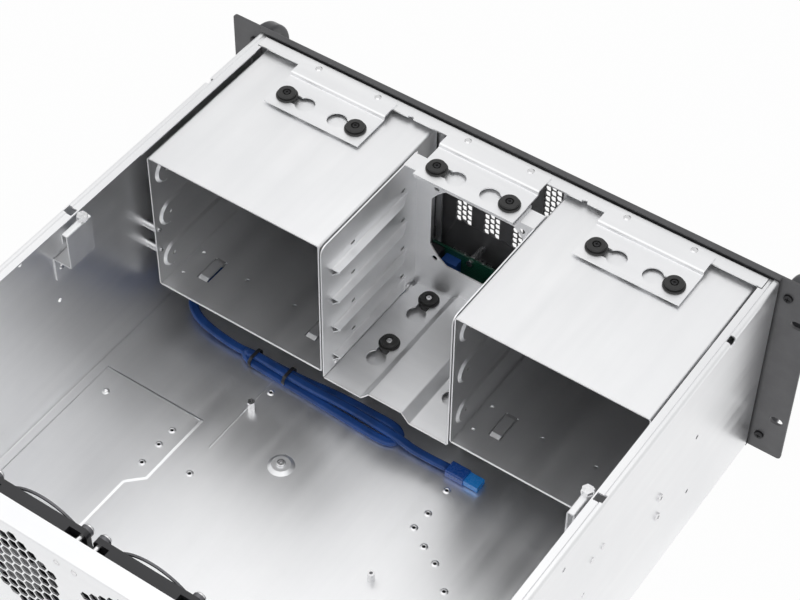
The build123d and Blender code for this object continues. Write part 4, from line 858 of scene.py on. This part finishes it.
class CASE_OT_cages(bpy.types.Operator):
    """Folds the drive cages and the middle cage's walls"""
    bl_idname = "case.cages"
    bl_label = "Cages"

    def execute(self, context):
        for side, word in WORDS.items():
            on_case(drive_cage(side, bpy.data.materials["zinc_cages"]), "zinc_sheet", "drive_cage_" + word)
            wall = cage_wall(side, bpy.data.materials["zinc_across_case"])
            on_case(wall, "zinc_sheet", "middle_cage_wall_" + word)
        return {"FINISHED"}


class CASE_OT_raised_plates(bpy.types.Operator):
    """Stands the brackets and the middle cage's base on their grommets' feet"""
    bl_idname = "case.raised_plates"
    bl_label = "Raised plates"

    def execute(self, context):
        for word in ("left", "middle", "right"):
            plate = reshaped("top_bracket_" + word, "bracket_" + word + "_raised", self.lift_plate)
            on_case(plate, "zinc_sheet", "top_bracket_" + word)
        foot = reshaped("middle_cage_foot", "cage_foot_lowered", self.lower_foot)
        on_case(foot, "zinc_sheet", "middle_cage_foot")
        rivets = reshaped("sheet_rivets", "rivets_turned", self.turn_rivet)
        on_case(rivets, "plated_wire", "sheet_rivets")
        spots = [(side * RIVET_HOLE_X, y, BASE_TOP) for side in (-1, 1) for y in RIVET_HOLE_Y]
        radius, top, bottom = PATCH
        disc = [(0.0, -top), (radius, -top), (radius, -bottom), (0.0, -bottom)]
        zinc = bpy.data.materials["zinc_across_case"]
        on_case(rings_piece("base_patches", turned(disc, spots, 24), zinc), "zinc_sheet")
        tops = [(x + side * GROMMET_X, GROMMET_Y, PLATE_TOP) for x in BRACKET_X for side in (-1, 1)]
        lows = [(side * x, y, BASE_TOP) for x, y in BASE_GROMMETS for side in (-1, 1)]
        rubber = bpy.data.materials["grommet_rubber"]
        for word, spots, top, sheet, lift, slot in (
                ("bracket", tops, PLATE_TOP, SHEET, PLATE_LIFT, "black_screws"),
                ("base", lows, BASE_TOP, CAGE_SHEET, BASE_LIFT, "plated_wire")):
            bushes = turned(self.bush(sheet, lift), spots)
            on_case(rings_piece(word + "_bushes", bushes, rubber), "rubber", word + "_grommets")
            rise = top + SCREW_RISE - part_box(word + "_screws")[1].z
            screws = reshaped(word + "_screws", word + "_screws_seated",
                              lambda place: self.seat_screw(place, spots, rise))
            on_case(screws, slot, word + "_screws")
        return {"FINISHED"}

    def lift_plate(self, place):
        return place + Vector((0, 0, PLATE_LIFT)) if place.z < PLATE_SPLIT_Z else place

    def lower_foot(self, place):
        return place - Vector((0, 0, BASE_LIFT)) if place.z > FOOT_SPLIT_Z else place

    def turn_rivet(self, place):
        """Lays the rivets that hold the middle cage's walls level, head inward."""
        if abs(place.x) > WALL_X or place.z > RIVET_SPLIT_Z:
            return place
        side = 1 if place.x > 0 else -1
        across = abs(place.x) - RIVET_HOLE_X
        up = place.z - (BASE_TOP + CAGE_SHEET)
        return Vector((side * (WALL_X - up), place.y, BASE_TOP + RIVET_RISE + across))

    def seat_screw(self, place, spots, rise):
        """Lifts a screw to its seat and draws its head in to its real width."""
        x, y, _ = min(spots, key=lambda spot: math.hypot(place.x - spot[0], place.y - spot[1]))
        share = SCREW_SHARE
        return Vector((x + (place.x - x) * share, y + (place.y - y) * share, place.z + rise))

    def bush(self, plate, lift):
        """Half section of a grommet from its plate's top: foot below, disc and cap above."""
        under = -plate - lift
        return [(0.0017, under), (0.0070, under), (0.0070, -plate - HAIR), (0.0045, -plate), (0.0045, 0),
                (0.0077, 0.0001), (0.0080, 0.0004), (0.0080, 0.0010), (0.0077, 0.0014), (0.0060, 0.0014),
                (0.0060, 0.0018), (0.0064, 0.0018), (0.0067, 0.0021), (0.0067, 0.0031), (0.0064, 0.0036),
                (0.0058, 0.0038), (0.0034, 0.0038), (0.0031, 0.0036), (0.0031, 0.0023), (0.0017, 0.0023)]


class CASE_OT_floor_rims(bpy.types.Operator):
    """Presses low rims round the floor's small holes, the pad's sloping edge and a crease"""
    bl_idname = "case.floor_rims"
    bl_label = "Floor rims"

    def execute(self, context):
        profile = [(0.0012, -0.0006), (0.0012, 0.0004), (0.0016, 0.0007), (0.0022, 0.0006), (0.0030, 0.0),
                   (0.0030, -0.0001), (0.0017, -0.0006)]
        spots = [(x * MM, FACE + depth * MM, SHEET + (PAD_H if x * MM > PAD_X[0] else 0))
                 for x, depth in FLOOR_HOLES]
        zinc = bpy.data.materials["zinc_along_case"]
        on_case(rings_piece("floor_rims", turned(profile, spots, 24), zinc), "zinc_sheet")
        edges = solid("floor_edges", [self.pad_edge(), self.crease()], zinc)
        on_case(crisp(edges, 20), "zinc_sheet")
        return {"FINISHED"}

    def pad_edge(self):
        """The slope from the raised pad down to the floor."""
        x0, x1 = PAD_X
        y0, y1, y2 = PAD_Y
        step = x0 + PAD_STEP
        outline = [Vector(corner) for corner in (
            (x1, y0), (x0, y0), (x0, y1), (step, y1 + PAD_STEP), (step, y2), (x1, y2))]
        top = SHEET + PAD_H
        rings = []
        for out, z in ((-4 * HAIR, top - HAIR), (0.0, top + 0.3 * HAIR),
                       (PAD_SLOPE * 0.3, SHEET + PAD_H * 0.8), (PAD_SLOPE, SHEET),
                       (PAD_SLOPE, SHEET - 2 * HAIR)):
            ring = []
            for before, corner, after in zip(outline[-1:] + outline, outline, outline[1:] + outline[:1]):
                back = (corner - before).normalized()
                on = (after - corner).normalized()
                side = Vector((back.y + on.y, -back.x - on.x)).normalized()
                reach = out / max(0.3, side.dot(Vector((back.y, -back.x))))
                ring.append((*(corner - side * reach), z))
            rings.append(ring)
        rings.append(rings[0])
        return joined_rings(rings, closed=True)

    def crease(self):
        """The shallow crease in the floor."""
        half, height = CREASE
        section = ((-half, SHEET - 2 * HAIR), (-half, SHEET), (0.0, SHEET + height), (half, SHEET),
                   (half, SHEET - 2 * HAIR))
        return joined_rings([[(CREASE_X + dx, y, z) for dx, z in section] for y in CREASE_Y])


class CASE_OT_dark_front(bpy.types.Operator):
    """Coats the front panel, the bay covers and the handles"""
    bl_idname = "case.dark_front"
    bl_label = "Dark front"

    def execute(self, context):
        colours = context.scene.case_colours
        dress(nodes_named("front_panel", "bay_cover"), coat_finish("panel_coat", colours.panel, 0.42))
        dress(["handle_left", "handle_right"], coat_finish("handle_coat", colours.handle, 0.34))
        on_case(reshaped("front_panel", "vented_panel", self.widen_vent), "dark_panel", "front_panel")
        return {"FINISHED"}

    def widen_vent(self, place):
        """Moves a point of a vent's cell away from the cell's middle, and thins the panel there."""
        column = VENT_PITCH * math.sqrt(3) / 2
        for strip in VENT_STRIPS:
            across = round((place.x - strip) / column)
            if abs(across) > 1 or not VENT_Z[0] - VENT_MARGIN < place.z < VENT_Z[1] + VENT_MARGIN:
                continue
            start = VENT_Z[0] + (VENT_PITCH / 2 if across == 0 else 0)
            up = round((place.z - start) / VENT_PITCH)
            middle = Vector((strip + across * column, place.y, start + up * VENT_PITCH))
            if (place - middle).length < VENT_REACH:
                spot = middle + (place - middle) * VENT_GROWTH
                if place.y > FACE + PANEL_T / 2:
                    spot.y -= VENT_THINNED
                return spot
        return place


class CASE_OT_fasteners(bpy.types.Operator):
    """Finishes screws, rivets, posts and grommets"""
    bl_idname = "case.fasteners"
    bl_label = "Fasteners"

    def execute(self, context):
        colours = context.scene.case_colours
        bright = plated_finish("bright_plating", (0.86, 0.86, 0.87), 0.16)
        dress(["base_screws", "boss_screw", "side_screws", "slot_screws", "fan_screws", "bar_bolts",
               "board_standoffs", "board_spacers", "side_spacers", "sheet_rivets"], bright)
        dress(["bracket_screws", "handle_screws"], plated_finish("black_oxide", (0.05, 0.05, 0.052), 0.30))
        dress(["bracket_grommets", "base_grommets"], rubber_finish("grommet_rubber", colours.rubber))
        return {"FINISHED"}


class CASE_OT_fans(bpy.types.Operator):
    """Finishes the rear fans and their wire guards"""
    bl_idname = "case.fans"
    bl_label = "Rear fans"

    def execute(self, context):
        plastic = plastic_finish("fan_plastic", context.scene.case_colours.plastic, 0.40)
        dress(nodes_named("fan_housing", "fan_rotor"), plastic)
        # Painted reflection: the guard's plated wire is coloured dark grey to stand in for the dark
        # surroundings it reflects.
        dress(nodes_named("fan_guard"), plated_finish("guard_wire", (0.16, 0.16, 0.17), 0.26))
        return {"FINISHED"}


class CASE_OT_front_board(bpy.types.Operator):
    """Finishes the front board, its sockets, buttons and lights, and adds its pins"""
    bl_idname = "case.front_board"
    bl_label = "Front board"

    def execute(self, context):
        colours = context.scene.case_colours
        dress(["front_board"], board_finish("board_mask"))
        controls = plastic_finish("control_plastic", colours.plastic, 0.36)
        dress(["board_header", "power_button", "reset_button"], controls)
        dress(["usb_sockets"], plated_finish("socket_shell", (0.80, 0.80, 0.80), 0.22))
        dress(["indicator_lights"], lens_finish("indicator_lens"))
        low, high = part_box("front_board")
        middle = ((low.x + high.x) / 2 - PIN_ASIDE, high.y + PIN_OUT, high.z - PIN_UNDER)
        gold = plated_finish("pin_plating", (0.85, 0.72, 0.42), 0.2)
        on_case(pin_field("board_pins", gold, middle, *PIN_GRID, PIN_LENGTH), "brass_posts")
        return {"FINISHED"}


class CASE_OT_lead(bpy.types.Operator):
    """Lays the front lead from the board to its tied hank and its free plug"""
    bl_idname = "case.lead"
    bl_label = "Front lead"

    def execute(self, context):
        colours = context.scene.case_colours
        radius = context.scene.case_sizes.strand / 2
        points = route_points(BOARD_ROUTE + hank_points() + PLUG_ROUTE, "lead_route")
        tube, length = twin_tube("front_lead", points, sleeve_finish("lead_sleeve"), radius)
        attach(tube, "case")
        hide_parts("lead_tube_board", "lead_hank", "lead_tube_plug")
        dress(["lead_plug"], plug_finish("lead_plug_blue"))
        dress(["lead_board_plug"], plastic_finish("board_plug_blue", colours.lead, 0.4))
        hoops = [hoop(x, HANK_Y, TIE_Z, TIE_WIDTH, TIE_REACH, TIE_TALL, TIE_THICK) for x in TIE_X]
        ties = rings_piece("tie_hoops", hoops, plastic_finish("tie_plastic", colours.plastic, 0.36))
        on_case(ties, "black_plastic", "lead_ties")
        return {"FINISHED"}


class CASE_OT_stage(bpy.types.Operator):
    """Sets the white floor, the light and the camera"""
    bl_idname = "case.stage"
    bl_label = "Stage"

    def execute(self, context):
        scene = context.scene
        settings = scene.case_stage
        scene.view_settings.view_transform = "Standard"
        x0, y0, y1, far = SHADED_X, *SHADED_Y, STAGE_REACH
        spots = [(-far, -far, 0), (far, -far, 0), (far, far, 0), (-far, far, 0),
                 (-x0, y0, 0), (x0, y0, 0), (x0, y1, 0), (-x0, y1, 0)]
        faces = [(i, (i + 1) % 4, 4 + (i + 1) % 4, 4 + i) for i in range(4)] + [(4, 5, 6, 7)]
        floor = new_mesh("studio_floor", spots, faces, self.floor_material(settings), smooth=False)
        floor.data.materials.append(self.shaded_material())
        floor.data.polygons[4].material_index = 1
        floor.location.z = -FLOOR_DROP
        self.sky(scene, settings)
        self.lamp("softbox_above", settings.softbox, *SOFTBOX)
        self.lamp("softbox_side", settings.side_lamp, *SIDE_LAMP)
        camera = bpy.data.cameras.new("photo_camera")
        camera.lens = settings.lens
        camera.sensor_width = SENSOR
        camera.clip_end = 20.0
        holder = linked("photo_camera", camera)
        holder.location = CAMERA_PLACE
        holder.rotation_euler = [math.radians(angle) for angle in CAMERA_TURN]
        scene.camera = holder
        return {"FINISHED"}

    def shaded_material(self):
        """The floor under the case, which the case keeps dark."""
        material, _, shader = fresh_material("studio_shaded")
        shade(shader, Base_Color=(0.05, 0.05, 0.05, 1), Roughness=0.9)
        return material

    def background_rays(self, tree, *kinds):
        """1 for camera rays and for the kinds named, 0 for the rest."""
        rays = tree.nodes.new("ShaderNodeLightPath")
        result = rays.outputs["Is Camera Ray"]
        for kind in kinds:
            result = arithmetic(tree, "MAXIMUM", result, rays.outputs[kind])
        return result

    def floor_material(self, settings):
        """White floor that camera and glossy rays see nearly full white, with the case's shadow."""
        material, tree, shader = fresh_material("studio_white")
        tree.nodes.remove(shader)
        out = tree.nodes["Material Output"]
        plain = new_node(tree, "ShaderNodeBsdfDiffuse", Color=(*settings.floor, 1))
        glow = new_node(tree, "ShaderNodeEmission", Strength=1.0)
        seen = self.background_rays(tree, "Is Glossy Ray")
        self.mix(tree, arithmetic(tree, "MULTIPLY", seen, FLOOR_SHARE), plain, glow, out)
        return material

    def sky(self, scene, settings):
        """Even light; camera, glossy and glass rays see white."""
        world = bpy.data.worlds.new("studio_sky")
        world.use_nodes = True
        scene.world = world
        tree = world.node_tree
        tree.nodes.clear()
        even = new_node(tree, "ShaderNodeBackground", Strength=settings.sky)
        white = new_node(tree, "ShaderNodeBackground", Strength=1.0)
        seen = self.background_rays(tree, "Is Glossy Ray", "Is Transmission Ray")
        self.mix(tree, seen, even, white, tree.nodes.new("ShaderNodeOutputWorld"))

    def mix(self, tree, share, first, second, out):
        """Sends two shaders to the output, the second one by its share."""
        node = tree.nodes.new("ShaderNodeMixShader")
        for socket, value in zip(node.inputs, (share, first.outputs[0], second.outputs[0])):
            feed(socket, value)
        shade(out, Surface=node.outputs["Shader"])

    def lamp(self, name, power, place, target, size):
        light = bpy.data.lights.new(name, "AREA")
        light.shape = "SQUARE"
        light.size = size
        light.energy = power
        holder = linked(name, light)
        holder.location = place
        direction = Vector(target) - Vector(place)
        holder.rotation_euler = direction.to_track_quat("-Z", "Y").to_euler()


class CASE_PT_panel(bpy.types.Panel):
    """Lists the case's operators"""
    bl_idname = "CASE_PT_panel"
    bl_label = "Rack case"
    bl_space_type = "VIEW_3D"
    bl_region_type = "UI"
    bl_category = "Rack case"

    def draw(self, context):
        for operator in OPERATORS:
            self.layout.operator(operator.bl_idname)


OPERATORS = (CASE_OT_sheet_metal, CASE_OT_dark_front, CASE_OT_fasteners, CASE_OT_cages,
             CASE_OT_raised_plates, CASE_OT_floor_rims, CASE_OT_fans, CASE_OT_front_board, CASE_OT_lead,
             CASE_OT_stage)
CLASSES = (CaseColours, CaseSizes, StageSettings, *OPERATORS, CASE_PT_panel)


def register():
    for item in CLASSES:
        bpy.utils.register_class(item)
    bpy.types.Scene.case_colours = bpy.props.PointerProperty(type=CaseColours)
    bpy.types.Scene.case_sizes = bpy.props.PointerProperty(type=CaseSizes)
    bpy.types.Scene.case_stage = bpy.props.PointerProperty(type=StageSettings)


def unregister():
    del bpy.types.Scene.case_stage
    del bpy.types.Scene.case_sizes
    del bpy.types.Scene.case_colours
    for item in reversed(CLASSES):
        bpy.utils.unregister_class(item)


def main():
    register()
    bpy.ops.case.sheet_metal()
    bpy.ops.case.dark_front()
    bpy.ops.case.fasteners()
    bpy.ops.case.cages()
    bpy.ops.case.raised_plates()
    bpy.ops.case.floor_rims()
    bpy.ops.case.fans()
    bpy.ops.case.front_board()
    bpy.ops.case.lead()
    bpy.ops.case.stage()


if __name__ == "__main__":
    main()
